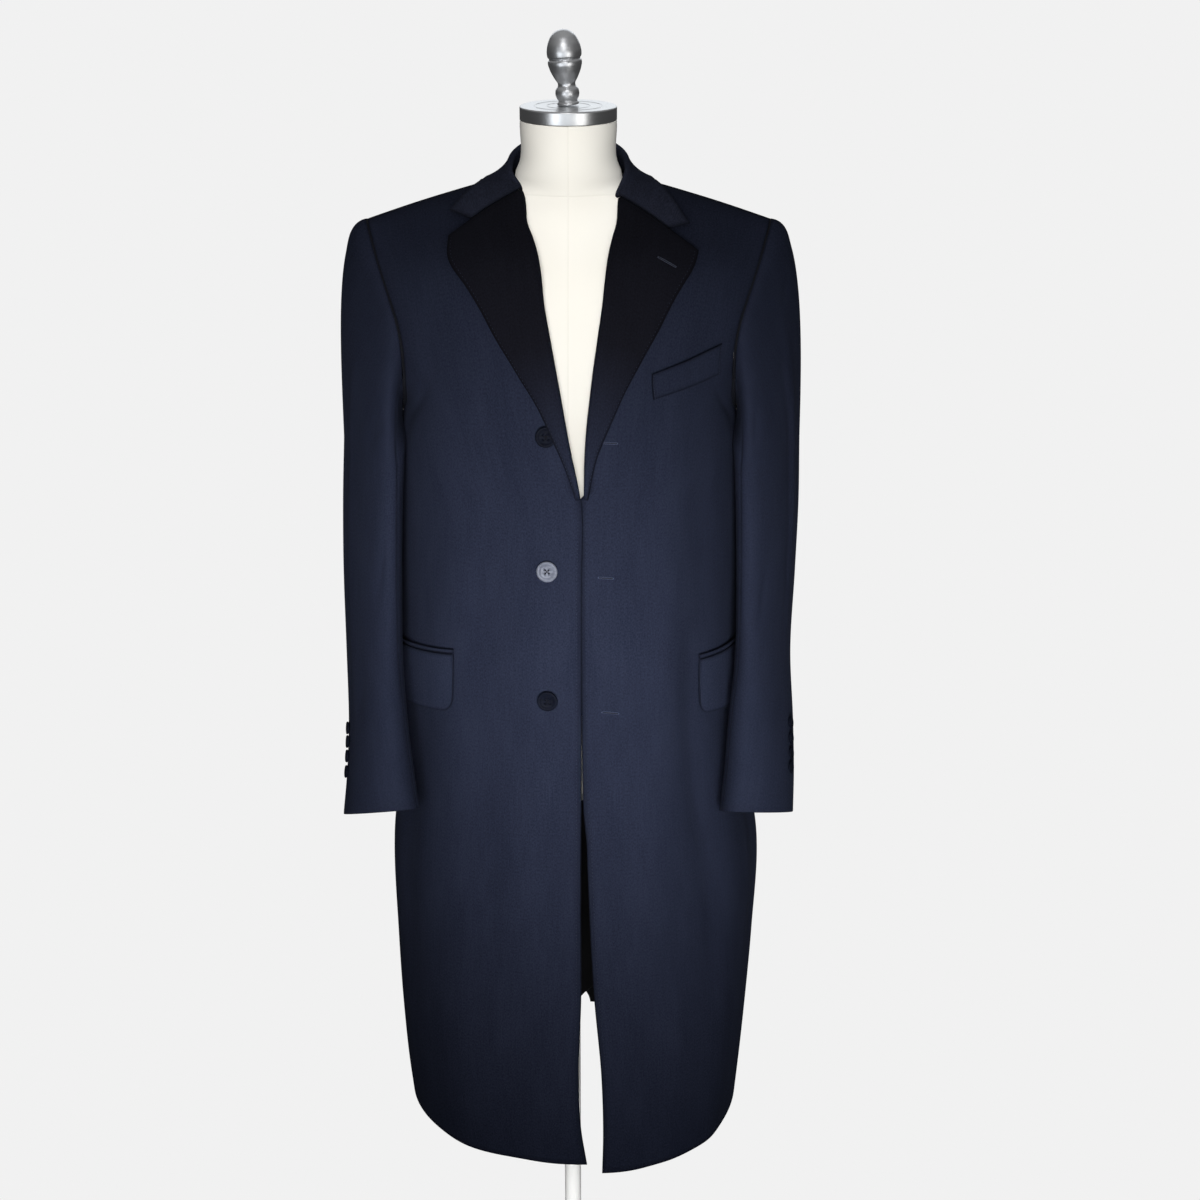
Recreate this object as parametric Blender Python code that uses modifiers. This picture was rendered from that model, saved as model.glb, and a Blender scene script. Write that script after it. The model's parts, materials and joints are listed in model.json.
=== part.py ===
"""Single-breasted wool overcoat, worn by a limbless tailor's form on a pole stand.

Metres, +Z up. The coat faces -Y, its wearer's left is +X, and the origin is the
centre of the underside of the stand's round base. Each cut piece of cloth is a
closed wall built on a surface that follows the coat's cut.
"""
import math
from collections import namedtuple

import bmesh
import bpy
import numpy as np
from mathutils import Vector
from mathutils.bvhtree import BVHTree

# ---------------------------------------------------------------- driving sizes
CLOTH_WALL = 0.0030          # overcoat cloth with its interlining and lining
TRIM_WALL = 0.0024           # flaps, jets and welt
SEAM_GAP = 0.0004            # between the cut edges of two pieces
LAY_GAP = 0.0004             # under a piece that lies on another one
RIGHT, LEFT = -1, 1          # the wearer's right is -X
UPWARDS = (0.0, 0.0, 1.0)

FRONT_COLUMNS, BACK_COLUMNS = 10, 8
SLEEVE_COLUMNS = 9           # on each of the two pieces of a sleeve

# One row for each horizontal section of the skirt, seen from above: how far each
# side seam stands out, the places of side seam, front and back, the roundness of
# each quarter (2 is an ellipse, more is squarer), and the two front edges.
Skirt = namedtuple("Skirt", "name z right_width left_width side_y front_y front_round "
                            "back_y back_round right_edge left_edge")
SKIRT = (
    Skirt("hem",    0.386, 0.1945, 0.1985, 0.010, -0.1950, 2.05, 0.190, 2.10, 0.0190, 0.0362),
    Skirt("shin",   0.430, 0.1990, 0.2025, 0.011, -0.1915, 2.10, 0.189, 2.10, 0.0125, 0.0373),
    Skirt("calf",   0.500, 0.2040, 0.2085, 0.013, -0.1870, 2.10, 0.186, 2.10, 0.0095, 0.0355),
    Skirt("knee",   0.600, 0.2080, 0.2155, 0.016, -0.1800, 2.10, 0.180, 2.10, 0.0126, 0.0272),
    Skirt("thigh",  0.720, 0.2095, 0.2190, 0.020, -0.1750, 2.10, 0.172, 2.10, 0.0125, 0.0212),
    Skirt("seat",   0.840, 0.1965, 0.1970, 0.022, -0.1710, 2.10, 0.163, 2.10, 0.0133, 0.0180),
    Skirt("pocket", 0.970, 0.1960, 0.1912, 0.028, -0.1675, 2.05, 0.150, 2.10, 0.0140, 0.0165),
    Skirt("waist",  1.090, 0.1925, 0.1908, 0.030, -0.1630, 2.05, 0.132, 2.15, 0.0143, 0.0158),
    Skirt("chest",  1.180, 0.1902, 0.1892, 0.030, -0.1560, 2.10, 0.137, 2.20, 0.0143, 0.0158),
)

# How far the hem of each front stands above its row at the front edge, and that of
# the back at its centre.
HEM_RISE = {RIGHT: 0.0065, LEFT: -0.0050}
BACK_HEM_RISE = 0.0045
HEM_REACH = 0.12             # how far up the cloth that is felt

# One row for each slanting section above the armpit, from the break line or the
# centre back to a point of the armhole. The sweeps are how far round, in degrees,
# each section has turned where it meets the armhole.
Yoke = namedtuple("Yoke", "name up right_edge left_edge front_y front_z front_round front_sweep "
                          "front_hole back_y back_z back_round back_sweep back_hole")
YOKE = (
    Yoke("pit",  0.857, 0.0025, 0.0172, -0.150, 1.243, 2.25, 90,
         "pit", 0.142, 1.250, 2.20, 90, "pit"),
    Yoke("low",  0.915, -0.0078, 0.0231, -0.140, 1.300, 2.30, 68,
         "front_low", 0.146, 1.320, 2.30, 70, "back_low"),
    Yoke("mid",  0.990, -0.0220, 0.0340, -0.119, 1.375, 2.30, 58,
         "front_mid", 0.140, 1.395, 2.30, 60, "back_mid"),
    Yoke("high", 1.075, -0.0371, 0.0470, -0.086, 1.452, 2.20, 62,
         "front_high", 0.113, 1.462, 2.20, 64, "back_high"),
)
SHOULDER_UP = 1.125          # distance up the cloth, hem to shoulder seam
NECK_POINT = (0.070, 0.004, 1.4970)      # where the shoulder seam meets the collar
NAPE = (0.0, 0.066, 1.5030)              # centre back of the neck seam
NECK_SHARE = 0.25            # share of the back's top edge that is neckline

# Near the gorge the break line is drawn in towards the neck, from one height up the
# front to the other, and the neckline then runs back to the neck point.
NECK_DRAW = {RIGHT: (0.0135, 0.0070, 0.0), LEFT: (0.0095, 0.0060, 0.0)}
DRAW_FROM, DRAW_FULL = 1.080, 1.108
DRAW_FADE = 6                # how closely it keeps to the edge

# The armhole of the wearer's left, a closed loop from the tip of the shoulder
# down the front to the armpit and up the back.
ARMHOLE = {
    "tip":        (0.2180, 0.004, 1.4520),
    "front_high": (0.2055, -0.031, 1.4180),
    "front_mid":  (0.1800, -0.066, 1.3440),
    "front_low":  (0.1765, -0.050, 1.2830),
    "pit":        (0.1820, 0.017, 1.2430),
    "back_low":   (0.1815, 0.068, 1.2850),
    "back_mid":   (0.1880, 0.086, 1.3550),
    "back_high":  (0.2065, 0.052, 1.4200),
}

# The lapels roll over at the break line and lie on the fronts. One row for each
# point of the outer edge: height up the front and share of the way across it.
LAPEL_STAND = 0.0080         # height of the lapel's foot above the middle of the front
LAPEL_REST = 0.0046          # and of its upper part
STAND_FROM, STAND_TO = 0.885, 0.970      # where the one fades into the other
CUT_BACK_FROM, CUT_BACK_TO = 0.011, 0.001        # below the lapel's foot, for its roll
ROLL_FLATNESS = 0.8          # how far the roll stands out, as a share of its radius
EdgePoint = namedtuple("EdgePoint", "up across")
LAPEL_EDGE = {
    RIGHT: (EdgePoint(0.806, 0.018), EdgePoint(0.850, 0.037), EdgePoint(0.898, 0.091),
            EdgePoint(0.930, 0.164), EdgePoint(0.970, 0.261), EdgePoint(1.032, 0.370),
            EdgePoint(1.062, 0.424), EdgePoint(1.081, 0.406)),
    LEFT:  (EdgePoint(0.806, 0.018), EdgePoint(0.850, 0.046), EdgePoint(0.908, 0.140),
            EdgePoint(0.942, 0.226), EdgePoint(0.988, 0.337), EdgePoint(1.031, 0.403),
            EdgePoint(1.055, 0.443), EdgePoint(1.069, 0.453)),
}
GORGE_UP = {RIGHT: 1.108, LEFT: 1.102}           # where the gorge seam meets the break
NOTCH = {RIGHT: EdgePoint(1.0882, 0.270), LEFT: EdgePoint(1.0811, 0.272)}
COLLAR_TIP = {RIGHT: EdgePoint(1.1008, 0.396), LEFT: EdgePoint(1.0907, 0.397)}

# The collar, from the gorge (0) round the side of the neck to the centre back (1).
# Fold is the top line it rolls over; edge is where the fall ends on the back.
CollarRow = namedtuple("CollarRow", "name around fold_x fold_y fold_z edge_across edge_up")
COLLAR = (
    CollarRow("shoulder", 0.34, 0.0625, -0.004, 1.5100, 0.4400, 1.1248),
    CollarRow("side",     0.52, 0.0595, 0.024, 1.5210, 0.3600, 1.1195),
    CollarRow("turn",     0.74, 0.0440, 0.054, 1.5290, 0.2100, 1.1130),
    CollarRow("centre",   1.00, 0.0000, 0.0690, 1.5330, 0.0000, 1.1110),
)
COLLAR_STEPS = 10            # grid lines from the gorge to the centre back
COLLAR_FOOT = 0.0030         # how far the stand starts above the neck seam
COLLAR_SHOULDER = COLLAR[0].around
FALL_HANG = 0.42             # how steeply the fall leaves the fold, as a share of its length
LEAF_CLIMB, LEAF_TURN = 0.05, 0.9        # how the fall's front end runs into its back
BEND_NEAR_COAT = 1.4         # from here on the bend of the fold may meet the coat

# Hip pocket flaps and the jets above them: shares across and heights up.
Flap = namedtuple("Flap", "inner outer top_inner top_outer low_inner low_outer")
FLAP = {RIGHT: Flap(0.452, 0.880, 0.6110, 0.5858, 0.5450, 0.5174),
        LEFT: Flap(0.500, 0.880, 0.6005, 0.5890, 0.5371, 0.5175)}
FLAP_CORNER = 0.10           # rounding of the flap's corners, as a share of its width
FLAP_CORNER_RISE = 0.014
FLAP_GAP = 0.0009            # under flaps and jets, which lie across the body's curve
JET_HEIGHT = 0.005
Welt = namedtuple("Welt", "inner outer low_inner low_outer height_inner height_outer")
BREAST_WELT = Welt(0.294, 0.820, 0.9048, 0.9392, 0.0283, 0.0395)

BUTTON_RADIUS, BUTTON_THICKNESS = 0.0115, 0.0036
CUFF_BUTTON_RADIUS, CUFF_BUTTON_THICKNESS = 0.0074, 0.0030
FRONT_BUTTONS = (("top", 0.066, 0.8650), ("middle", 0.108, 0.7200), ("bottom", 0.106, 0.5740))
CUFF_BUTTON_ANGLE = {RIGHT: -24.0, LEFT: -37.0}
CUFF_BUTTON_DOWNS = {RIGHT: (1.695, 1.738, 1.787, 1.841), LEFT: (1.683, 1.731, 1.783, 1.832)}

# The centre back vent: the wearer's left laps over the right.
VENT_TOP = 0.740
VENT_LAP = 0.11              # as a share of the back's width
VENT_CORNER = 0.060          # how far the lower corners are drawn back, likewise
VENT_CORNER_UP = 0.045       # and how far up that starts
UNDERLAP_DRAW = 1.6          # how much further the under corner is drawn back
VENT_CLOSE = (0.045, 0.020)  # below its top the underlap narrows over this stretch
VENT_RISE = 0.030            # and above it the under layer comes level over this one

# One row for each ring of the sleeve below the armhole: height of its centre,
# outermost and innermost reach of each sleeve from the coat's middle, how far
# forward it lies, half its depth, and its turn, the phase in degrees that carries
# the outer fold backwards.
Ring = namedtuple("Ring", "name z right_outer right_inner left_outer left_inner y half_depth turn")
SLEEVE = (
    Ring("biceps",  1.1950, 0.2573, 0.1840, 0.2605, 0.1840, 0.006, 0.0800, 45.0),
    Ring("arm",     1.1200, 0.2603, 0.1868, 0.2608, 0.1860, -0.002, 0.0780, 45.0),
    Ring("elbow",   1.0450, 0.2606, 0.1884, 0.2575, 0.1872, -0.014, 0.0750, 42.0),
    Ring("forearm", 0.9680, 0.2570, 0.1880, 0.2520, 0.1862, -0.038, 0.0690, 37.0),
    Ring("wrist",   0.9000, 0.2528, 0.1834, 0.2538, 0.1790, -0.068, 0.0610, 30.0),
    Ring("button",  0.8480, 0.2535, 0.1768, 0.2540, 0.1745, -0.092, 0.0550, 26.0),
    Ring("cuff",    0.8025, 0.2565, 0.1695, 0.2520, 0.1690, -0.113, 0.0500, 20.0),
)
HEAD_SECTIONS = (0.0, 0.04, 0.10, 0.18, 0.30, 0.46, 0.64, 0.82)   # armhole to biceps
CUFF_RISE = {RIGHT: 0.09, LEFT: 0.02}    # slope of the cuff up towards the body
CUFF_TILT = math.tan(math.radians(23.0))
HEAD_FULLNESS = 0.098        # how fast the sleeve head leaves the shoulder
SLEEVE_RADIUS = 0.030        # at its narrowest, for the gap of its seams

# Horizontal sections of the form's torso: half width, front, back, roundness.
Torso = namedtuple("Torso", "name z half_width front_y back_y round")
TORSO = (
    Torso("base",      0.829, 0.1580, -0.128, 0.120, 2.3),
    Torso("seat",      0.900, 0.1620, -0.130, 0.125, 2.3),
    Torso("hip",       0.980, 0.1590, -0.127, 0.117, 2.3),
    Torso("waist",     1.080, 0.1500, -0.120, 0.098, 2.3),
    Torso("rib",       1.180, 0.1560, -0.127, 0.106, 2.4),
    Torso("chest",     1.270, 0.1640, -0.124, 0.120, 2.5),
    Torso("armpit",    1.340, 0.1690, -0.107, 0.118, 2.4),
    Torso("blade",     1.400, 0.1790, -0.088, 0.104, 2.0),
    Torso("shoulder",  1.438, 0.1850, -0.066, 0.078, 1.5),
    Torso("ridge",     1.461, 0.1740, -0.056, 0.062, 1.3),
    Torso("slope",     1.475, 0.1380, -0.054, 0.058, 1.3),
    Torso("root",      1.489, 0.0700, -0.054, 0.057, 1.7),
    Torso("neck",      1.507, 0.0565, -0.056, 0.057, 2.0),
    Torso("neck_top",  1.560, 0.0518, -0.0518, 0.0518, 2.0),
)
TORSO_SIDES = 28
TORSO_CORE = Vector((0.0, 0.02, 1.30))   # a point well inside the form
FORM_MEETS_COAT = 1.36       # height from which the coat rests on the form
FORM_CLEARANCE = 0.0006

CAP_RADIUS = 0.0520
CAP_BOTTOM, CAP_TOP = 1.5604, 1.5750
FINIAL_LEAN = math.radians(4.4)          # towards the wearer's right
BASE_RADIUS, BASE_HEIGHT = 0.190, 0.012
POLE_RADIUS = 0.010


# ------------------------------------------------------------------ small tools
def spline(knots, rows, at, corner=None, sharpness=0.0):
    """A smooth curve through rows, one vector a knot, read at one place.

    At the knot numbered corner the curve may turn sharply, wholly at sharpness 1.
    """
    rows = np.asarray(rows, float)
    slopes = np.gradient(rows, knots, axis=0)
    index = int(np.clip(np.searchsorted(knots, at) - 1, 0, len(knots) - 2))
    span = knots[index + 1] - knots[index]
    chord = (rows[index + 1] - rows[index]) / span
    start_slope, end_slope = slopes[index], slopes[index + 1]
    if index == corner:
        start_slope = start_slope + sharpness * (chord - start_slope)
    if index + 1 == corner:
        end_slope = end_slope + sharpness * (chord - end_slope)
    t = (at - knots[index]) / span
    return ((1 + 2 * t) * (1 - t) ** 2 * rows[index] + t * (1 - t) ** 2 * span * start_slope
            + t * t * (3 - 2 * t) * rows[index + 1] + t * t * (t - 1) * span * end_slope)


def smooth_step(low, high, value):
    t = min(max((value - low) / (high - low), 0.0), 1.0)
    return t * t * (3 - 2 * t)


def quarter(start, end, roundness, share, sweep=90.0):
    """Part of a superellipse seen from above, from the centre line to the side.

    It has turned by sweep degrees where it ends, at share 1.
    """
    power = 2 / roundness
    last = math.radians(sweep)
    angle = share * last
    run = math.copysign(abs(math.sin(angle)) ** power, angle) / math.sin(last) ** power
    left_over = max(math.cos(last), 0.0) ** power
    rise = (max(math.cos(angle), 0.0) ** power - left_over) / (1 - left_over)
    fall = (1 + math.cos(math.pi * share)) / 2
    return np.array((start[0] + (end[0] - start[0]) * run,
                     end[1] + (start[1] - end[1]) * rise,
                     end[2] + (start[2] - end[2]) * fall))


def material(name, colour, roughness, metallic=0.0):
    finish = bpy.data.materials.new(name)
    finish.use_nodes = True
    shader = finish.node_tree.nodes["Principled BSDF"]
    shader.inputs["Base Color"].default_value = (*colour, 1.0)
    shader.inputs["Roughness"].default_value = roughness
    shader.inputs["Metallic"].default_value = metallic
    finish.diffuse_color = (*colour, 1.0)
    return finish


def skin(outer):
    """A search tree of the outer or the inner faces of the coat's four panels."""
    points, quads = [], []
    for name, outer_face in PANELS.items():
        grid = SKINS[name][outer_face if outer else 1 - outer_face]
        first, width = len(points), len(grid[0])
        points += [point for row in grid for point in row]
        quads += [(first + r * width + c, first + r * width + c + 1,
                   first + (r + 1) * width + c + 1, first + (r + 1) * width + c)
                  for r in range(len(grid) - 1) for c in range(width - 1)]
    return BVHTree.FromPolygons(points, quads)


def kept_off(point, tree, gap, toward):
    """The point, moved until it is at least gap from the skin, on toward's side."""
    place, normal, _, _ = tree.find_nearest(Vector(point))
    if normal.dot(toward) < 0:
        normal = -normal
    height = (Vector(point) - place).dot(normal)
    return np.array(Vector(point) + normal * max(gap - height, 0.0))


def add_object(name, mesh, finish, parent):
    piece = bpy.data.objects.new(name, mesh)
    piece.parent = parent
    mesh.materials.append(finish)
    COLLECTION.objects.link(piece)
    return piece


def facing(surface, a, b, limits):
    """Unit normal of surface(a, b), by differences that stay inside the limits."""
    (a_low, a_high), (b_low, b_high) = limits
    step = 1e-3
    a_before, a_after = max(a - step, a_low), min(a + step, a_high)
    b_before, b_after = max(b - step, b_low), min(b + step, b_high)
    normal = np.cross(surface(a_after, b) - surface(a_before, b),
                      surface(a, b_after) - surface(a, b_before))
    return normal / np.linalg.norm(normal)


def cloth(name, surface, columns, rows, limits, finish, parent, wall=CLOTH_WALL):
    """A closed wall on surface(a, b) with grid lines at the given columns and rows.

    Both faces are offset from the surface along its own normals, so that two
    pieces of one surface meet squarely at a seam. Faces are built by hand because
    Solidify takes its normals from one piece alone.
    """
    net = bmesh.new()
    faces_of_wall = []
    middle = [[(surface(a, b), facing(surface, a, b, limits)) for a in columns] for b in rows]
    SKINS[name] = [[[point + offset * normal for point, normal in row] for row in middle]
                   for offset in (wall / 2, -wall / 2)]
    for face in SKINS[name]:
        grid = [[net.verts.new(point) for point in row] for row in face]
        faces_of_wall.append(grid)
        for below, above in zip(grid, grid[1:]):
            for n in range(len(columns) - 1):
                net.faces.new((below[n], below[n + 1], above[n + 1], above[n]))
    rims = [grid[0] + [row[-1] for row in grid[1:]] + grid[-1][-2::-1]
            + [row[0] for row in grid[-2:0:-1]] for grid in faces_of_wall]
    for n in range(len(rims[0])):
        after = (n + 1) % len(rims[0])
        net.faces.new((rims[0][n], rims[0][after], rims[1][after], rims[1][n]))
    bmesh.ops.recalc_face_normals(net, faces=net.faces)
    mesh = bpy.data.meshes.new(name)
    net.to_mesh(mesh)
    net.free()
    mesh.shade_smooth()
    mesh.set_sharp_from_angle(angle=math.radians(50))
    return add_object(name, mesh, finish, parent)


def turned(name, profile, finish, parent, steps=24):
    """A turned piece: profile is (radius, height) from the top down to the foot."""
    mesh = bpy.data.meshes.new(name)
    outline = bmesh.new()
    points = [outline.verts.new((radius, 0.0, height)) for radius, height in profile]
    for upper, lower in zip(points, points[1:]):
        outline.edges.new((upper, lower))
    outline.to_mesh(mesh)
    outline.free()
    piece = add_object(name, mesh, finish, parent)
    screw = piece.modifiers.new("turning", "SCREW")
    screw.steps = steps
    screw.render_steps = steps
    screw.use_merge_vertices = True
    screw.merge_threshold = 0.00005
    return piece


# ------------------------------------------------------------- the coat's shell
def mirrored(point, side):
    return np.array((point[0] * side, point[1], point[2]))


def front_edge(row, side):
    """The front edge or break line of a table row, in the wearer's left frame."""
    return row.left_edge if side == LEFT else -row.right_edge


def side_width(row, side):
    return row.left_width if side == LEFT else row.right_width


UPS = [row.z - SKIRT[0].z for row in SKIRT] + [row.up for row in YOKE] + [SHOULDER_UP]
OVER_UP = 2 * SHOULDER_UP - YOKE[-1].up      # the next section, over the shoulder
PIT_KNOT = len(SKIRT)


def shoulder_point(share):
    """Along the shoulder seam, from the neck point to the sleeve head."""
    seam = np.array(NECK_POINT) + share * (np.array(ARMHOLE["tip"]) - np.array(NECK_POINT))
    seam[2] += 0.002 * math.sin(math.pi * share)
    return seam


def front_section(row, side, across):
    return quarter((front_edge(row, side), row.front_y, row.front_z), ARMHOLE[row.front_hole],
                   row.front_round, across, row.front_sweep)


def back_section(row, across):
    return quarter((0.0, row.back_y, row.back_z), ARMHOLE[row.back_hole], row.back_round,
                   across, row.back_sweep)


def front_point(side, across, up):
    """Middle of the front's wall: across 0 at the front edge, 1 at the side seam
    or armhole, and up the distance from the hem along the cloth."""
    rows = [quarter((front_edge(row, side), row.front_y, row.z),
                    (side_width(row, side), row.side_y, row.z), row.front_round, across)
            for row in SKIRT]
    rows += [front_section(row, side, across) for row in YOKE]
    rows.append(shoulder_point(across))
    rows.append(back_section(YOKE[-1], NECK_SHARE + across * (1 - NECK_SHARE)))
    point = spline(UPS + [OVER_UP], rows, up, PIT_KNOT, smooth_step(0.6, 1.0, across))
    point[2] += HEM_RISE[side] * (1 - across) * (1 - smooth_step(0.0, HEM_REACH, up))
    drawn = (smooth_step(DRAW_FROM, DRAW_FULL, up) * (1 - smooth_step(DRAW_FULL, SHOULDER_UP, up))
             * (1 - across) ** DRAW_FADE)
    return mirrored(point - drawn * np.array(NECK_DRAW[side]), side)


def edge_share(side, up, distance):
    """The share across the front at a distance from its edge."""
    probe = 0.02
    span = np.linalg.norm(front_point(side, probe, up) - front_point(side, 0.0, up))
    return probe * (distance / span) ** 1.1


def back_top(across):
    """The back's upper edge: neckline first, then the shoulder seam."""
    if across >= NECK_SHARE:
        return shoulder_point((across - NECK_SHARE) / (1 - NECK_SHARE))
    return quarter(NAPE, NECK_POINT, 1.7, across / NECK_SHARE)


def back_point(side, across, up):
    """Middle of the back's wall: across 0 at the centre back seam."""
    rows = [quarter((0.0, row.back_y, row.z), (side_width(row, side), row.side_y, row.z),
                    row.back_round, across) for row in SKIRT]
    rows += [back_section(row, across) for row in YOKE]
    top = back_top(max(across, 0.0))
    rows.append(top)
    if across >= NECK_SHARE:
        rows.append(front_section(YOKE[-1], side, (across - NECK_SHARE) / (1 - NECK_SHARE)))
    else:
        rows.append(2 * top - rows[-2])
    point = spline(UPS + [OVER_UP], rows, up, PIT_KNOT, smooth_step(0.6, 1.0, across))
    point[2] += BACK_HEM_RISE * (1 - across) * (1 - smooth_step(0.0, HEM_REACH, up))
    return mirrored(point, side)


# Heights of the grid lines of fronts and backs, measured up from the hem: closer
# together where the vent ends and over the shoulder.
BODY_ROWS = (0.0, 0.022, 0.05, 0.11, 0.17, 0.23, 0.29, 0.330, 0.350, 0.375, 0.43, 0.49, 0.55, 0.61,
             0.67, 0.73, 0.795, 0.805, 0.830, 0.857, 0.885, 0.92, 0.96, 1.00, 1.035, 1.065, 1.092, 1.110,
             SHOULDER_UP - SEAM_GAP / 2)
BODY_LIMITS = ((0.0, 1.0), (0.0, SHOULDER_UP))
REACHING_LIMITS = ((-0.2, 1.0), (0.0, SHOULDER_UP))      # past the front edge too


def build_front(side, finish, parent):
    foot = LAPEL_EDGE[side][0].up

    def surface(across, up):
        cut_back = (edge_share(side, up, roll_out(up) + 4 * SEAM_GAP)
                    * smooth_step(foot - CUT_BACK_FROM, foot - CUT_BACK_TO, up))
        point = front_point(side, across + (1 - across) * cut_back, up)
        point[1] -= SEAM_GAP / 2 * across ** 6
        return point
    name = "front_left" if side == LEFT else "front_right"
    columns = np.linspace(0.0, 1.0, FRONT_COLUMNS + 1)
    cloth(name, surface, columns, BODY_ROWS, BODY_LIMITS, finish, parent)


def build_back(side, finish, parent):
    vent_up = VENT_TOP - SKIRT[0].z
    step_in = CLOTH_WALL + 2 * LAY_GAP

    def surface(column, up):
        corner = 1 - smooth_step(0.0, VENT_CORNER_UP, up)
        lap, recess = -VENT_CORNER * corner, 0.0
        if side == RIGHT:
            lap = (VENT_LAP * (1 - smooth_step(vent_up - VENT_CLOSE[0], vent_up - VENT_CLOSE[1], up))
                   - UNDERLAP_DRAW * VENT_CORNER * corner)
            recess = (step_in * (1 - smooth_step(vent_up, vent_up + VENT_RISE, up))
                      * (1 - smooth_step(0.15, 0.5, column)))
        point = back_point(side, column + lap * (column - 1), up)
        point[0] += side * SEAM_GAP / 2 * (1 - column)
        point[1] += SEAM_GAP / 2 * column ** 6 - recess
        return point
    name = "back_left" if side == LEFT else "back_right"
    columns = (*np.linspace(0.0, NECK_SHARE, 5)[:-1],
               *np.linspace(NECK_SHARE, 1.0, BACK_COLUMNS - 1))
    cloth(name, surface, columns, BODY_ROWS, BODY_LIMITS, finish, parent)


# ------------------------------------------------- pieces that lie on the fronts
def on_front(side, across, up, lift):
    """A point of the front moved out along its normal."""
    def surface(a, b):
        return front_point(side, a, b)
    return surface(across, up) + side * lift * facing(surface, across, up, REACHING_LIMITS)


def lapel_height(up):
    return LAPEL_REST + (LAPEL_STAND - LAPEL_REST) * (1 - smooth_step(STAND_FROM, STAND_TO, up))


def roll_out(up):
    """How far the front is cut back, so that the roll ends at the break line."""
    return CLOTH_WALL / 2 + SEAM_GAP + ROLL_FLATNESS * lapel_height(up) / 2


def lapel_top(side, across):
    """Height of the lapel's upper edge, along the gorge and on to its peak."""
    start = edge_share(side, GORGE_UP[side], roll_out(GORGE_UP[side]))
    peak = LAPEL_EDGE[side][-1]
    return (GORGE_UP[side] + (across - start) / (peak.across - start)
            * (peak.up - GORGE_UP[side]))


def lapel_point(side, u, w):
    """u below 0 runs round the roll, 0 to 1 across the lapel; w from foot to top."""
    edge = LAPEL_EDGE[side]
    edge_up = edge[0].up + w * (edge[-1].up - edge[0].up)
    edge_across = spline([point.up for point in edge], [(point.across,) for point in edge],
                         edge_up)[0]
    fold_up = edge[0].up + w * (GORGE_UP[side] - edge[0].up)
    height = lapel_height(fold_up)
    start = edge_share(side, fold_up, roll_out(fold_up))
    if u >= 0.0:
        return on_front(side, start + u * (edge_across - start),
                        fold_up + u * (edge_up - fold_up), height)
    seat = front_point(side, start, fold_up)
    away = front_point(side, 0.0, fold_up) - front_point(side, 0.02, fold_up)
    away /= np.linalg.norm(away)
    normal = on_front(side, start, fold_up, 1.0) - seat
    angle = (1.0 + u) * math.pi
    radius = height / 2
    return (seat + away * ROLL_FLATNESS * radius * math.sin(angle)
            + normal * radius * (1 - math.cos(angle)))


def build_lapel(side, finish, parent):
    name = "lapel_left" if side == LEFT else "lapel_right"
    columns = (-1.0, -0.75, -0.5, -0.25, 0.0, 0.2, 0.4, 0.6, 0.8, 1.0)
    cloth(name, lambda u, w: lapel_point(side, u, w), columns, np.linspace(0.0, 1.0, 16),
          ((-1.0, 1.0), (0.0, 1.0)), finish, parent)


def collar_rows(side):
    """The collar's guides for one side: where round the neck, the neckline point,
    the fold and the edge of the fall."""
    start_up = GORGE_UP[side] + COLLAR_FOOT
    seat = front_point(side, 0.0, start_up)
    inward = seat - front_point(side, 0.02, start_up)
    inward /= np.linalg.norm(inward)
    tip = COLLAR_TIP[side]
    rest = LAPEL_REST
    rows = [(0.0, seat, seat + inward * (SEAM_GAP + rest * 0.4), on_front(side, tip.across,
                                                                         tip.up, rest))]
    for row in COLLAR:
        share = NECK_SHARE * (1 - smooth_step(COLLAR_SHOULDER, 1.0, row.around))
        seat = mirrored(back_top(share), side)
        edge = back_point(side, row.edge_across, row.edge_up)
        normal = facing(lambda a, b: back_point(side, a, b), row.edge_across, row.edge_up,
                        BODY_LIMITS)
        edge = edge - side * normal * rest
        rows.append((row.around, seat, mirrored((row.fold_x, row.fold_y, row.fold_z), side),
                     edge))
    return rows


def collar_point(u, around):
    """u 0 to 1 up the stand, to 2 over the fold, to 3 down the fall; around -1 at the
    gorge of the wearer's right, 0 at the centre back, 1 at the left gorge."""
    side = LEFT if around > 0 else RIGHT
    place = 1.0 - abs(around)
    rows = COLLAR_GUIDES[side]
    seat, fold, edge = (spline([row[0] for row in rows], [row[n] for row in rows], place)
                        for n in (1, 2, 3))
    rise = fold - seat
    rise /= np.linalg.norm(rise)
    out = edge - fold
    out = out - rise * (out @ rise)
    out /= np.linalg.norm(out)
    radius = LAPEL_REST / 2
    centre = fold - rise * radius
    if u <= 1.0:
        foot = seat + rise * COLLAR_FOOT
        return foot + (centre - out * radius - foot) * u
    if u <= 2.0:
        angle = (u - 1.0) * math.pi
        bend = centre + radius * (rise * math.sin(angle) - out * math.cos(angle))
        if u < BEND_NEAR_COAT:
            return bend
        return kept_off(bend, BODY_SKIN, LAPEL_REST - CLOTH_WALL / 2, UPWARDS)
    t = u - 2.0
    start = centre + out * radius
    control = start - rise * FALL_HANG * np.linalg.norm(edge - start)
    free = (1 - t) ** 2 * start + 2 * t * (1 - t) * control + t * t * edge
    lying = collar_leaf(side, t, place)
    point = lying + smooth_step(0.0, COLLAR_SHOULDER, place) * (free - lying)
    return kept_off(point, BODY_SKIN, LAPEL_REST - CLOTH_WALL / 2, UPWARDS)


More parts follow.
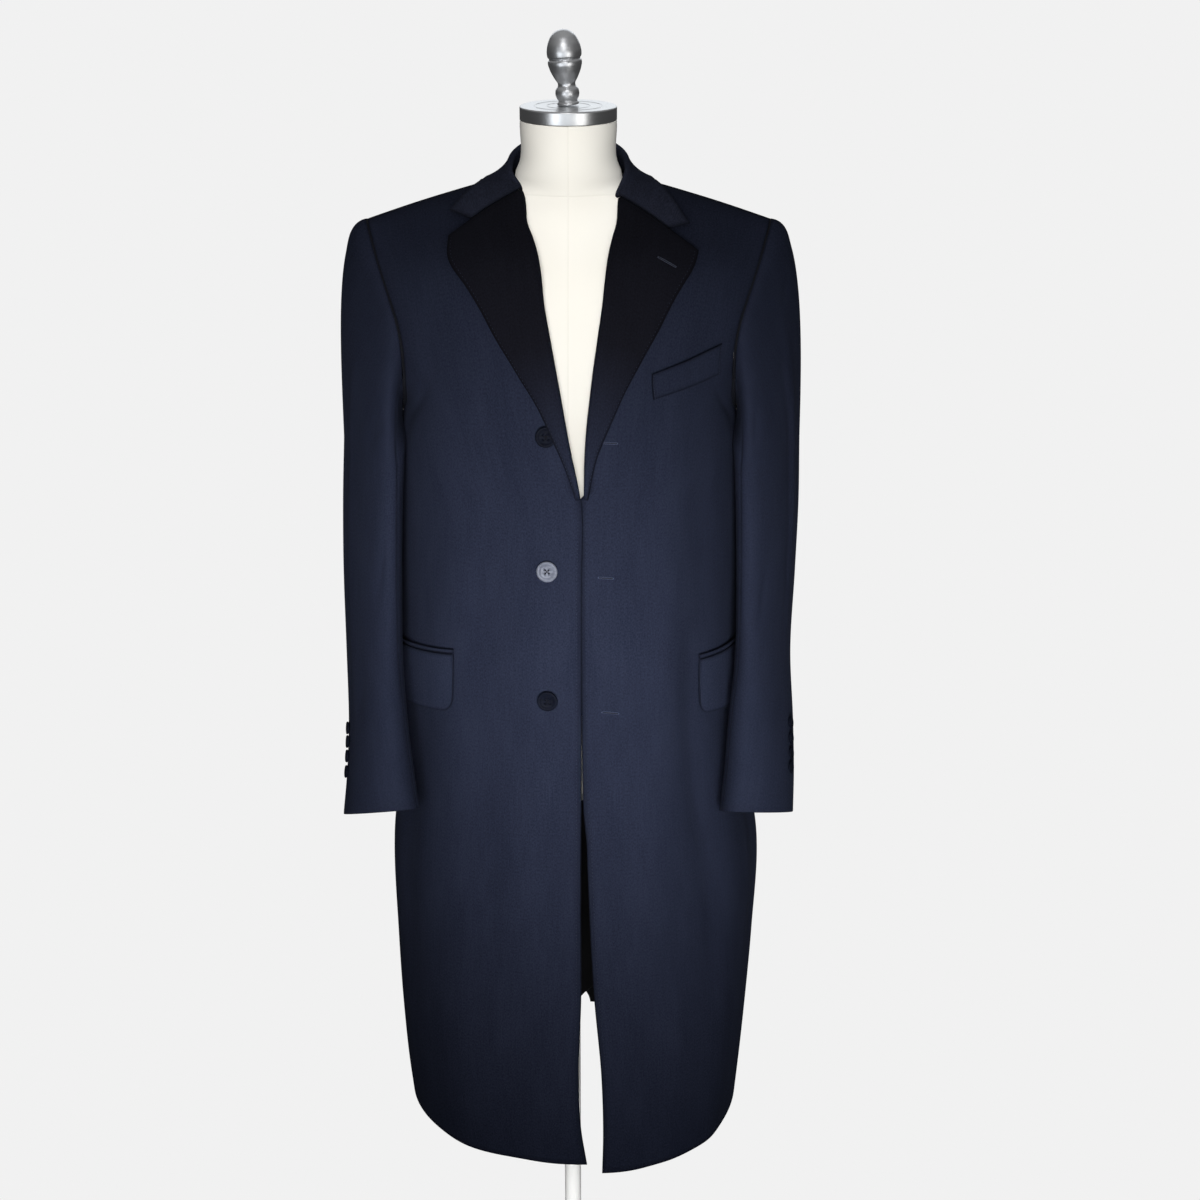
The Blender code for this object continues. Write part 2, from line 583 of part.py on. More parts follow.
def collar_leaf(side, t, place):
    """The front end of the fall, which lies on the front above the gorge."""
    notch, tip = NOTCH[side], COLLAR_TIP[side]
    across = t * tip.across
    if across < notch.across:
        end_up = lapel_top(side, across) + 2 * SEAM_GAP
    else:
        start_up = lapel_top(side, notch.across) + 2 * SEAM_GAP
        end_up = start_up + (tip.up - start_up) * (across - notch.across) / (
            tip.across - notch.across)
    up = min(end_up + place * LEAF_CLIMB, SHOULDER_UP)
    return on_front(side, across * (1 - LEAF_TURN * place), up, LAPEL_REST)


def build_collar(finish, parent):
    columns = (0.0, 0.5, 1.0, 1.25, 1.5, 1.75, 2.0, 2.2, 2.4, 2.6, 2.8, 3.0)
    arounds = np.linspace(-1.0, 1.0, 2 * COLLAR_STEPS + 1)
    cloth("collar", collar_point, columns, arounds, ((0.0, 3.0), (-1.0, 1.0)), finish, parent)


def build_flap(side, finish, parent):
    hand = "left" if side == LEFT else "right"
    flap = FLAP[side]
    lift = CLOTH_WALL / 2 + FLAP_GAP + TRIM_WALL / 2

    def patch(share, row):
        across = flap.inner + share * (flap.outer - flap.inner)
        top = flap.top_inner + share * (flap.top_outer - flap.top_inner)
        low = flap.low_inner + share * (flap.low_outer - flap.low_inner)
        corner = max(1 - min(share, 1 - share) / FLAP_CORNER, 0.0)
        low += FLAP_CORNER_RISE * (1 - math.sqrt(1 - corner ** 2))
        return on_front(side, across, low + row * (top - low), lift)

    def jet(share, row):
        across = flap.inner + share * (flap.outer - flap.inner)
        top = flap.top_inner + share * (flap.top_outer - flap.top_inner)
        return on_front(side, across, top + 2 * SEAM_GAP + row * JET_HEIGHT, lift)
    limits = ((0.0, 1.0), (0.0, 1.0))
    columns = (0.0, 0.02, 0.06, 0.12, 0.25, 0.4, 0.55, 0.7, 0.85, 0.95, 1.0)
    cloth(f"pocket_flap_{hand}", patch, columns, (0.0, 0.3, 0.65, 1.0), limits, finish, parent,
          TRIM_WALL)
    cloth(f"pocket_jet_{hand}", jet, np.linspace(0.0, 1.0, 7), (0.0, 1.0), limits, finish,
          parent, TRIM_WALL)


def build_welt(finish, parent):
    welt = BREAST_WELT
    lift = CLOTH_WALL / 2 + LAY_GAP + TRIM_WALL / 2

    def patch(share, row):
        low = welt.low_inner + share * (welt.low_outer - welt.low_inner)
        height = welt.height_inner + share * (welt.height_outer - welt.height_inner)
        return on_front(LEFT, welt.inner + share * (welt.outer - welt.inner),
                        low + row * height, lift)
    cloth("breast_welt", patch, np.linspace(0.0, 1.0, 8), (0.0, 0.5, 1.0),
          ((0.0, 1.0), (0.0, 1.0)), finish, parent, TRIM_WALL)


def build_button(name, seat, normal, radius, thickness, finish, parent):
    """A dished button whose flat back lies a hair off the cloth at seat."""
    profile = [(0.0, thickness * 0.72), (radius * 0.62, thickness * 0.72),
               (radius * 0.74, thickness), (radius * 0.90, thickness), (radius, thickness * 0.7),
               (radius * 0.94, thickness * 0.25), (radius * 0.7, 0.0), (0.0, 0.0)]
    button = turned(name, profile, finish, parent, steps=12 if radius < 0.010 else 20)
    button.location = Vector(seat + normal * (CLOTH_WALL / 2 + LAY_GAP))
    button.rotation_euler = Vector(normal).to_track_quat("Z", "Y").to_euler()


def build_buttons(finish, parent):
    for name, across, up in FRONT_BUTTONS:
        seat = front_point(RIGHT, across, up)
        normal = on_front(RIGHT, across, up, 1.0) - seat
        build_button(f"front_button_{name}", seat, normal, BUTTON_RADIUS, BUTTON_THICKNESS,
                     finish, parent)
    for side in (RIGHT, LEFT):
        hand = "left" if side == LEFT else "right"
        for number, down in enumerate(CUFF_BUTTON_DOWNS[side], start=1):
            def surface(angle, at, side=side):
                return sleeve_point(side, math.degrees(angle), at)
            angle = CUFF_BUTTON_ANGLE[side]
            seat = sleeve_point(side, angle, down)
            normal = -side * facing(surface, math.radians(angle), down,
                                    ((-math.pi, math.pi), (0.0, 2.0)))
            build_button(f"cuff_button_{hand}_{number}", seat, normal, CUFF_BUTTON_RADIUS,
                         CUFF_BUTTON_THICKNESS, finish, parent)


# --------------------------------------------------------------------- sleeves
HOLE_ORDER = ("tip", "back_high", "back_mid", "back_low", "pit", "front_low", "front_mid",
              "front_high")


def armhole_point(angle):
    """Armhole loop of the wearer's left: angle 0 at the tip, 90 at the back."""
    loop = [ARMHOLE[name] for name in HOLE_ORDER]
    wrapped = [loop[-2], loop[-1]] + loop + [loop[0], loop[1]]
    knots = [45.0 * (n - 2) for n in range(len(wrapped))]
    return spline(knots, wrapped, angle % 360.0)


def ring_point(ring, side, angle):
    """A point of a sleeve ring: angle 0 outermost, 90 back, 180 innermost."""
    outer = ring.left_outer if side == LEFT else ring.right_outer
    inner = ring.left_inner if side == LEFT else ring.right_inner
    middle = (outer + inner) / 2
    half_width = (outer - inner) / 2
    turn = math.radians(ring.turn)
    angle = math.radians(angle)
    depth = ring.half_depth * math.sin(angle + turn)
    outwards = half_width * math.cos(angle)
    slope = smooth_step(-1.10, -0.85, -ring.z)
    return np.array((middle + outwards, ring.y + depth,
                     ring.z - slope * (depth * CUFF_TILT + outwards * CUFF_RISE[side])))


def sleeve_point(side, angle, down):
    """Middle of the sleeve's wall: down runs 0 to 1 over the head, then to the cuff
    at 2."""
    if down <= 1.0:
        start, end = armhole_point(angle), ring_point(SLEEVE[0], side, angle)
        lateral = math.cos(math.radians(angle))
        aside = abs(math.sin(math.radians(angle)))
        start = start + np.array((2 * SEAM_GAP + CLOTH_WALL * (0.6 * (1 - lateral)
                                                              + 0.35 * aside), 0.0, 0.0))
        leave = np.array((HEAD_FULLNESS * max(lateral, 0.0) ** 2 + 0.014,
                          0.03 * math.sin(math.radians(angle)), 0.01 - 0.02 * lateral))
        drop = np.array((0.0, 0.0, -np.linalg.norm(end - start)))
        t = down
        point = ((1 + 2 * t) * (1 - t) ** 2 * start + t * (1 - t) ** 2 * leave
                 + t * t * (3 - 2 * t) * end + t * t * (t - 1) * drop)
    else:
        knots = np.linspace(1.0, 2.0, len(SLEEVE))
        point = spline(knots, [ring_point(ring, side, angle) for ring in SLEEVE], down)
    return mirrored(point, side)


def seam_angles(down):
    """The angles of the hindarm and forearm seams, which wander down the sleeve."""
    hindarm = float(np.interp(down, (0.0, 1.0, 2.0), (62.0, 30.0, 2.0)))
    forearm = float(np.interp(down, (0.0, 1.0, 2.0), (236.0, 226.0, 214.0)))
    return hindarm, forearm


SLEEVE_DOWNS = HEAD_SECTIONS + tuple(np.linspace(1.0, 2.0, 10))


def build_sleeve(side, finish, parent):
    hand = "left" if side == LEFT else "right"
    half_gap = math.degrees(SEAM_GAP / SLEEVE_RADIUS)
    for kind, count in (("top", SLEEVE_COLUMNS + 2), ("under", SLEEVE_COLUMNS)):
        def surface(share, down, kind=kind):
            hindarm, forearm = seam_angles(down)
            low, high = (forearm - 360.0, hindarm) if kind == "top" else (hindarm, forearm)
            trim = half_gap * (1 - 2 * share)
            return sleeve_point(side, low + share * (high - low) + trim, down)
        cloth(f"{kind}_sleeve_{hand}", surface, np.linspace(0.0, 1.0, count + 1), SLEEVE_DOWNS,
              ((-1.0, 2.0), (0.0, 2.0)), finish, parent)


# --------------------------------------------------------------- form and stand
def torso_point(angle, z):
    heights = [row.z for row in TORSO]
    half_width, front, back, power = spline(
        heights, [(row.half_width, row.front_y, row.back_y, row.round) for row in TORSO], z)
    run = math.copysign(abs(math.cos(angle)) ** (2 / power), math.cos(angle))
    rise = abs(math.sin(angle)) ** (2 / power)
    return Vector((half_width * run, (back if math.sin(angle) > 0 else -front)
                   * math.copysign(rise, math.sin(angle)), z))


TORSO_HEIGHTS = (0.829, 0.862, 0.90, 0.94, 0.98, 1.03, 1.08, 1.13, 1.18, 1.225, 1.27, 1.305, 1.340,
                 1.370, 1.400, 1.420, 1.438, 1.451, 1.461, 1.468, 1.475, 1.482, 1.489, 1.497,
                 1.507, 1.530, 1.560)


def build_torso(finish, parent):
    net = bmesh.new()
    rings = []
    for z in TORSO_HEIGHTS:
        ring = [torso_point(2 * math.pi * n / TORSO_SIDES, z) for n in range(TORSO_SIDES)]
        if FORM_MEETS_COAT < z < TORSO[-2].z:
            ring = [kept_off(point, COAT_LINING, FORM_CLEARANCE, (TORSO_CORE - point))
                    for point in ring]
        rings.append([net.verts.new(point) for point in ring])
    for lower, upper in zip(rings, rings[1:]):
        for n in range(TORSO_SIDES):
            after = (n + 1) % TORSO_SIDES
            net.faces.new((lower[n], lower[after], upper[after], upper[n]))
    net.faces.new(reversed(rings[0]))
    net.faces.new(rings[-1])
    bmesh.ops.recalc_face_normals(net, faces=net.faces)
    mesh = bpy.data.meshes.new("form_torso")
    net.to_mesh(mesh)
    net.free()
    mesh.shade_smooth()
    add_object("form_torso", mesh, finish, parent)


def build_stand(metal, parent):
    turned("neck_cap", [(0.0, CAP_TOP), (0.0400, CAP_TOP), (0.0406, CAP_TOP + 0.0012),
                        (0.0424, CAP_TOP + 0.0012), (0.0430, CAP_TOP), (0.0508, CAP_TOP),
                        (CAP_RADIUS, CAP_TOP - 0.0012), (CAP_RADIUS, CAP_BOTTOM),
                        (0.0, CAP_BOTTOM)], metal, parent, steps=32)
    finial = [(0.0, 0.0790), (0.0070, 0.0775), (0.0130, 0.0725),
              (0.0170, 0.0640), (0.0185, 0.0560), (0.0172, 0.0480),
              (0.0176, 0.0460), (0.0165, 0.0360), (0.0120, 0.0270),
              (0.0093, 0.0230), (0.0093, 0.0195), (0.0122, 0.0165),
              (0.0130, 0.0115), (0.0118, 0.0070), (0.0098, 0.0040),
              (0.0118, 0.0022), (0.0118, 0.0), (0.0, 0.0)]
    knob = turned("finial", finial, metal, parent, steps=18)
    knob.rotation_euler.y = -FINIAL_LEAN
    knob.location.z = CAP_TOP + 0.0003 + 0.0118 * math.sin(FINIAL_LEAN)
    plate_top = TORSO[0].z - 0.0003
    turned("torso_socket", [(0.0, plate_top), (0.060, plate_top), (0.060, plate_top - 0.006),
                            (0.018, plate_top - 0.008), (0.016, plate_top - 0.060),
                            (0.0, plate_top - 0.060)], metal, parent)
    pole_top = plate_top - 0.0603
    pole_foot = BASE_HEIGHT + 0.0153
    turned("stand_pole", [(0.0, pole_top), (POLE_RADIUS, pole_top), (POLE_RADIUS, pole_foot),
                          (0.0, pole_foot)], metal, parent)
    turned("stand_base", [(0.0, BASE_HEIGHT + 0.015), (0.018, BASE_HEIGHT + 0.015),
                          (0.026, BASE_HEIGHT + 0.004), (0.060, BASE_HEIGHT),
                          (BASE_RADIUS - 0.004, BASE_HEIGHT - 0.002),
                          (BASE_RADIUS, BASE_HEIGHT - 0.005), (BASE_RADIUS, 0.0), (0.0, 0.0)],
           metal, parent, steps=36)


# ----------------------------------------------------------------------- build
for old in list(bpy.data.objects):
    bpy.data.objects.remove(old)
COLLECTION = bpy.data.collections.new("overcoat_on_form")
bpy.context.scene.collection.children.link(COLLECTION)
ROOT = bpy.data.objects.new("overcoat", None)
COLLECTION.objects.link(ROOT)

wool = material("navy_wool", (0.012, 0.016, 0.030), 0.85)
linen = material("form_cloth", (0.76, 0.73, 0.64), 0.80)
metal = material("brushed_metal", (0.62, 0.62, 0.61), 0.30, 1.0)
horn = material("button_horn", (0.030, 0.033, 0.042), 0.25)

SKINS = {}                   # the two faces of every wall, by name
PANELS = {"front_right": 1, "front_left": 0, "back_right": 0, "back_left": 1}    # outer face
for hand in (RIGHT, LEFT):
    build_front(hand, wool, ROOT)
    build_back(hand, wool, ROOT)
    build_sleeve(hand, wool, ROOT)
    build_lapel(hand, wool, ROOT)
    build_flap(hand, wool, ROOT)
BODY_SKIN, COAT_LINING = skin(True), skin(False)
COLLAR_GUIDES = {hand: collar_rows(hand) for hand in (RIGHT, LEFT)}
build_collar(wool, ROOT)
build_welt(wool, ROOT)
build_buttons(horn, ROOT)
build_torso(linen, ROOT)
build_stand(metal, ROOT)
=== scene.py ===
"""The looks of a single-breasted wool overcoat on a limbless tailor's form.

Metres, +Z up. The coat faces -Y, its wearer's left is +X. Each cut piece of cloth is
a thin closed shell on the surface of its cut, with turned edges and soft creases, and
takes the place of its plain solid.
"""
import json
import math
from collections import namedtuple
from functools import partial

import bmesh
import bpy
import numpy as np
from mathutils import Matrix, Vector
from mathutils.bvhtree import BVHTree

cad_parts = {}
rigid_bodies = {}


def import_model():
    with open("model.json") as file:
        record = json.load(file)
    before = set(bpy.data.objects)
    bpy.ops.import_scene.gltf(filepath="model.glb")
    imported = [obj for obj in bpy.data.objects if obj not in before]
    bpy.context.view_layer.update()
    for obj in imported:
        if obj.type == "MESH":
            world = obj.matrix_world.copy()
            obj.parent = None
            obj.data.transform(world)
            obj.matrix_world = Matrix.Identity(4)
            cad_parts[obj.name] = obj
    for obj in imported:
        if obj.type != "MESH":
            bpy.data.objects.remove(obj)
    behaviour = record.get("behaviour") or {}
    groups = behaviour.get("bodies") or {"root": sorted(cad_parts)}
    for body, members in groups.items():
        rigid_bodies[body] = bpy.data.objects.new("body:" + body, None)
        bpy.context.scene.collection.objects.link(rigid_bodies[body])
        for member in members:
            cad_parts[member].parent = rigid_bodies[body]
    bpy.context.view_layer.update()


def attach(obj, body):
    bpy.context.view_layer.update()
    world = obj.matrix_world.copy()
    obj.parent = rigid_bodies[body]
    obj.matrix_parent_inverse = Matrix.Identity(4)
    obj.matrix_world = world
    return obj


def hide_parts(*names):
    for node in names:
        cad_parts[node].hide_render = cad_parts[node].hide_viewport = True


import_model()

def rows_of(kind, *rows):
    return tuple(kind(*row) for row in rows)


# ------------------------------------------------------- sizes of the coat's cut
CLOTH_WALL = 0.0030          # overcoat cloth with its interlining and lining
SHELL = 0.0026               # the same, pressed, as it shows at an edge
TRIM_WALL = 0.0024           # flaps, jets and welt
SEAM_GAP = 0.0004
LAY_GAP = 0.0004
RIGHT, LEFT = -1, 1          # the wearer's right is -X
HAND = {RIGHT: "right", LEFT: "left"}

Skirt = namedtuple("Skirt", "name z right_width left_width side_y front_y front_round "
                            "back_y back_round right_edge left_edge")
SKIRT = rows_of(Skirt,
    ("hem", 0.386, 0.1945, 0.1985, 0.010, -0.1950, 2.05, 0.190, 2.10, 0.0190, 0.0362),
    ("shin", 0.430, 0.1990, 0.2025, 0.011, -0.1915, 2.10, 0.189, 2.10, 0.0125, 0.0373),
    ("calf", 0.500, 0.2040, 0.2085, 0.013, -0.1870, 2.10, 0.186, 2.10, 0.0095, 0.0355),
    ("knee", 0.600, 0.2080, 0.2155, 0.016, -0.1800, 2.10, 0.180, 2.10, 0.0126, 0.0272),
    ("thigh", 0.720, 0.2095, 0.2190, 0.020, -0.1750, 2.10, 0.172, 2.10, 0.0125, 0.0212),
    ("seat", 0.840, 0.1965, 0.1970, 0.022, -0.1710, 2.10, 0.163, 2.10, 0.0133, 0.0180),
    ("pocket", 0.970, 0.1960, 0.1912, 0.028, -0.1675, 2.05, 0.150, 2.10, 0.0140, 0.0165),
    ("waist", 1.090, 0.1925, 0.1908, 0.030, -0.1630, 2.05, 0.132, 2.15, 0.0143, 0.0158),
    ("chest", 1.180, 0.1902, 0.1892, 0.030, -0.1560, 2.10, 0.137, 2.20, 0.0143, 0.0158),
)
HEM_RISE = {RIGHT: 0.0065, LEFT: -0.0050}
BACK_HEM_RISE = 0.0045
HEM_REACH = 0.12

Yoke = namedtuple("Yoke", "name up right_edge left_edge front_y front_z front_round front_sweep "
                          "front_hole back_y back_z back_round back_sweep back_hole")
YOKE = rows_of(Yoke,
    ("pit", 0.857, 0.0025, 0.0172, -0.150, 1.243, 2.25, 90,
         "pit", 0.142, 1.250, 2.20, 90, "pit"),
    ("low", 0.915, -0.0078, 0.0231, -0.140, 1.300, 2.30, 68,
         "front_low", 0.146, 1.320, 2.30, 70, "back_low"),
    ("mid", 0.990, -0.0220, 0.0340, -0.119, 1.375, 2.30, 58,
         "front_mid", 0.140, 1.395, 2.30, 60, "back_mid"),
    ("high", 1.075, -0.0371, 0.0470, -0.086, 1.452, 2.20, 62,
         "front_high", 0.113, 1.462, 2.20, 64, "back_high"),
)
SHOULDER_UP = 1.125
NECK_POINT = (0.070, 0.004, 1.4970)
NAPE = (0.0, 0.066, 1.5030)
NECK_SHARE = 0.25
NECK_DRAW = {RIGHT: (0.0135, 0.0070, 0.0), LEFT: (0.0095, 0.0060, 0.0)}
DRAW_FROM, DRAW_FULL, DRAW_FADE = 1.080, 1.108, 6
ARMHOLE = {
    "tip":        (0.2180, 0.004, 1.4520),
    "front_high": (0.2055, -0.031, 1.4180),
    "front_mid":  (0.1800, -0.066, 1.3440),
    "front_low":  (0.1765, -0.050, 1.2830),
    "pit":        (0.1820, 0.017, 1.2430),
    "back_low":   (0.1815, 0.068, 1.2850),
    "back_mid":   (0.1880, 0.086, 1.3550),
    "back_high":  (0.2065, 0.052, 1.4200),
}
HOLE_ORDER = ("tip", "back_high", "back_mid", "back_low", "pit", "front_low", "front_mid",
              "front_high")

LAPEL_STAND, LAPEL_REST = 0.0080, 0.0046
STAND_FROM, STAND_TO = 0.885, 0.970
FOOT_STAND = 0.800, 0.842
ROLL_FLATNESS = 0.8
EdgePoint = namedtuple("EdgePoint", "up across")
LAPEL_EDGE = {
    RIGHT: rows_of(EdgePoint, (0.798, 0.016), (0.850, 0.037), (0.898, 0.091), (0.930, 0.164),
                   (0.970, 0.261), (1.032, 0.370), (1.062, 0.424), (1.081, 0.406)),
    LEFT: rows_of(EdgePoint, (0.798, 0.016), (0.850, 0.046), (0.908, 0.140), (0.942, 0.226),
                  (0.988, 0.337), (1.031, 0.403), (1.055, 0.443), (1.069, 0.453)),
}
GORGE_UP = {RIGHT: 1.108, LEFT: 1.102}
NOTCH = {RIGHT: EdgePoint(1.0882, 0.270), LEFT: EdgePoint(1.0811, 0.272)}
COLLAR_TIP = {RIGHT: EdgePoint(1.1008, 0.396), LEFT: EdgePoint(1.0907, 0.397)}
CollarRow = namedtuple("CollarRow", "name around fold_x fold_y fold_z edge_across edge_up")
COLLAR = rows_of(CollarRow,
    ("shoulder", 0.34, 0.0625, -0.004, 1.5100, 0.3600, 1.1248),
    ("side", 0.52, 0.0595, 0.024, 1.5210, 0.3200, 1.1195),
    ("turn", 0.74, 0.0440, 0.054, 1.5290, 0.2100, 1.1130),
    ("centre", 1.00, 0.0000, 0.0690, 1.5330, 0.0000, 1.1110),
)
COLLAR_FOOT = 0.0030

Flap = namedtuple("Flap", "inner outer top_inner top_outer low_inner low_outer")
FLAP = {RIGHT: Flap(0.452, 0.880, 0.6110, 0.5858, 0.5450, 0.5174),
        LEFT: Flap(0.500, 0.880, 0.6005, 0.5890, 0.5371, 0.5175)}
FLAP_CORNER, FLAP_CORNER_RISE = 0.10, 0.014
FLAP_GAP = 0.0009
JET_HEIGHT = 0.005
Welt = namedtuple("Welt", "inner outer low_inner low_outer height_inner height_outer")
BREAST_WELT = Welt(0.294, 0.820, 0.9048, 0.9392, 0.0283, 0.0395)

BUTTON_RADIUS, BUTTON_THICKNESS = 0.0115, 0.0036
CUFF_BUTTON_RADIUS, CUFF_BUTTON_THICKNESS = 0.0074, 0.0030
FRONT_BUTTONS = (("top", 0.066, 0.8650), ("middle", 0.108, 0.7200), ("bottom", 0.106, 0.5740))
CUFF_BUTTON_ANGLE = {RIGHT: -24.0, LEFT: -37.0}
CUFF_BUTTON_DOWNS = {RIGHT: (1.695, 1.738, 1.787, 1.841), LEFT: (1.683, 1.731, 1.783, 1.832)}

VENT_UP = 0.354              # top of the centre back vent, up from the hem
VENT_LAP = 0.11
VENT_CORNER, VENT_CORNER_UP = 0.060, 0.045

Ring = namedtuple("Ring", "name z right_outer right_inner left_outer left_inner y half_depth turn")
SLEEVE = rows_of(Ring,
    ("biceps", 1.1950, 0.2573, 0.1840, 0.2605, 0.1840, 0.006, 0.0800, 45.0),
    ("arm", 1.1200, 0.2603, 0.1868, 0.2608, 0.1860, -0.002, 0.0780, 45.0),
    ("elbow", 1.0450, 0.2606, 0.1884, 0.2575, 0.1872, -0.014, 0.0750, 42.0),
    ("forearm", 0.9680, 0.2570, 0.1880, 0.2520, 0.1862, -0.038, 0.0690, 37.0),
    ("wrist", 0.9000, 0.2528, 0.1834, 0.2538, 0.1790, -0.068, 0.0610, 30.0),
    ("button", 0.8480, 0.2535, 0.1768, 0.2540, 0.1745, -0.092, 0.0550, 26.0),
    ("cuff", 0.8025, 0.2565, 0.1695, 0.2520, 0.1690, -0.113, 0.0500, 20.0),
)
CUFF_RISE = {RIGHT: 0.09, LEFT: 0.02}
CUFF_TILT = math.tan(math.radians(23.0))
HEAD_FULLNESS = 0.098

Torso = namedtuple("Torso", "name z half_width front_y back_y round")
TORSO = rows_of(Torso,
    ("base", 0.829, 0.1580, -0.128, 0.120, 2.3),
    ("seat", 0.900, 0.1620, -0.130, 0.125, 2.3),
    ("hip", 0.980, 0.1590, -0.127, 0.117, 2.3),
    ("waist", 1.080, 0.1500, -0.120, 0.098, 2.3),
    ("rib", 1.180, 0.1560, -0.127, 0.106, 2.4),
    ("chest", 1.270, 0.1640, -0.124, 0.120, 2.5),
    ("armpit", 1.340, 0.1690, -0.107, 0.118, 2.4),
    ("blade", 1.400, 0.1790, -0.088, 0.104, 2.0),
    ("shoulder", 1.438, 0.1850, -0.066, 0.078, 1.5),
    ("ridge", 1.461, 0.1740, -0.056, 0.062, 1.3),
    ("slope", 1.475, 0.1380, -0.054, 0.058, 1.3),
    ("root", 1.489, 0.0700, -0.054, 0.057, 1.7),
    ("neck", 1.507, 0.0565, -0.056, 0.057, 2.0),
    ("neck_top", 1.560, 0.0518, -0.0518, 0.0518, 2.0),
)
TORSO_CORE = Vector((0.0, 0.02, 1.30))
FORM_MEETS_COAT = 1.36
FORM_CLEARANCE = 0.0006
CAP_RADIUS, CAP_BOTTOM, CAP_TOP = 0.0520, 1.5604, 1.5750
CAP_GROOVES = (0.0230, 0.0362)
FINIAL_LEAN = math.radians(4.4)
BASE_RADIUS, BASE_HEIGHT = 0.190, 0.012
POLE_RADIUS = 0.010

# ------------------------------------------ how the cloth leaves its seams and edges
# A pair is where something begins and where it is in full.
SHOULDER_RISE = 0.002        # of the shoulder seam's middle over a straight line
NECK_ROUND = 1.7
NEAR_SIDE = 0.6, 1.0         # across, where the cloth may turn sharply at the armhole
HELD_ACROSS, HELD_CENTRE, HELD_UP = 0.09, 0.06, 0.06
PROBE, EDGE_EASE = 0.02, 1.1
GORGE_SHARE = 0.4            # of the lapel's height, at the collar's end
FALL_BULGE = 0.42
KEPT_OFF_FROM = 1.4          # the part of the collar that rests on the coat
LEAF_RISE, LEAF_DRAW = 0.05, 0.9
CUFF_SLOPE = 0.85, 1.10      # heights between which the cuff's slant comes in
HEAD_STEP, HEAD_STEP_ASIDE = 0.6, 0.35
HEAD_OUT, HEAD_ASIDE, HEAD_UP = 0.014, 0.03, 0.01
HELD_DOWN, HELD_TURN = 0.05, (125.0, 150.0)
PIT_TURN = 145.0, 172.0
HINDARM, FOREARM = (62.0, 30.0, 2.0), (232.0, 208.0, 198.0)
RADIAN = 57.3                # degrees, near enough to read a sleeve by
SLEEVE_LIMITS = (-400.0, 400.0), (0.0, 2.0)
FRONT_FACING = 0.085
LAPEL_MEETS = -0.001, 0.009  # from the lapel's foot up, the front is cut back under it
GORGE_MEETS = 0.006
FOOT_MEETS = -0.002, 0.010
VENT_RUNS_OUT = VENT_UP - 0.045, VENT_UP - 0.020
VENT_STEPS_OUT = VENT_UP, VENT_UP + 0.030
VENT_STEP_ACROSS = 0.15, 0.50
UNDER_CORNER = 1.6           # of the corner on the vent's upper side
FLAP_CURL, FLAP_END_CURL, WELT_CURL = 0.0016, 0.0006, 0.0006
TRIM_LIFT = CLOTH_WALL / 2 + TRIM_WALL / 2
LEAST_CUT = 0.010            # a jet shows 5 mm, and as much is folded under


# --------------------------------------------------------------- creases, given one by one
# Each is a soft ridge (height above 0) or trough. It runs along the cloth through
# (at, up), leaning by so many shares or degrees for each metre. Length, width and
# height are in metres. The width is how far from its middle it has sunk to a third.
Crease = namedtuple("Crease", "name at up lean length width height")
FRONT_BREADTH, BACK_BREADTH = 0.30, 0.29
MEET_FROM = (0.400, 0.450)   # the fronts meet from here up to the lapels' foot
MEET_LAP, MEET_DEPTH, MEET_BREADTH = 0.0030, 0.0034, 0.090
PIT_FULLNESS, PIT_DOWN, PIT_LENGTH = 0.0034, 0.74, 0.26
SIDE_FULLNESS, SIDE_FULL_UP, SIDE_FULL_LENGTH = 0.0040, 0.829, 0.028
FRONT_CREASES = {
    RIGHT: rows_of(Crease,
        ("light_plane", 0.15, 0.560, -0.04, 0.90, 0.034, 0.0034),
        ("button_pull", 0.09, 0.655, 0.02, 0.14, 0.004, -0.0005),
        ("pocket_dip", 0.33, 0.610, 0.05, 0.55, 0.024, -0.0020),
        ("hip_roll", 0.50, 0.520, 0.00, 0.60, 0.034, 0.0030),
        ("side_hollow", 0.72, 0.330, 0.10, 0.62, 0.026, -0.0042),
        ("knee_break", 0.285, 0.345, -0.25, 0.13, 0.010, -0.0014),
        ("hem_wave_in", 0.24, 0.060, 0.15, 0.44, 0.028, -0.0026),
        ("hem_wave_out", 0.44, 0.090, -0.10, 0.52, 0.034, 0.0036),
        ("chest_drape", 0.60, 0.670, 0.05, 0.22, 0.006, -0.0006),
        ("armhole_drape", 0.78, 0.880, -0.55, 0.26, 0.016, -0.0022),
        ("shoulder_hollow", 0.62, 0.985, 0.20, 0.20, 0.040, -0.0030),
    ),
    LEFT: rows_of(Crease,
        ("light_plane", 0.32, 0.560, 0.06, 0.96, 0.030, 0.0046),
        ("edge_trough", 0.09, 0.600, 0.05, 0.46, 0.015, -0.0020),
        ("edge_roll", 0.03, 0.420, 0.02, 0.60, 0.014, 0.0014),
        ("pocket_dip", 0.47, 0.400, -0.12, 0.66, 0.018, -0.0042),
        ("hip_roll", 0.60, 0.380, 0.05, 0.60, 0.030, 0.0030),
        ("side_hollow", 0.84, 0.330, 0.05, 0.50, 0.020, -0.0040),
        ("hem_wave_in", 0.22, 0.080, -0.10, 0.38, 0.026, -0.0024),
        ("hem_wave_out", 0.55, 0.050, 0.12, 0.36, 0.028, 0.0030),
        ("chest_drape", 0.52, 0.740, -0.10, 0.30, 0.016, -0.0016),
        ("armhole_drape", 0.82, 0.860, -0.50, 0.24, 0.015, -0.0018),
        ("shoulder_hollow", 0.66, 0.990, 0.15, 0.20, 0.040, -0.0030),
    ),
}
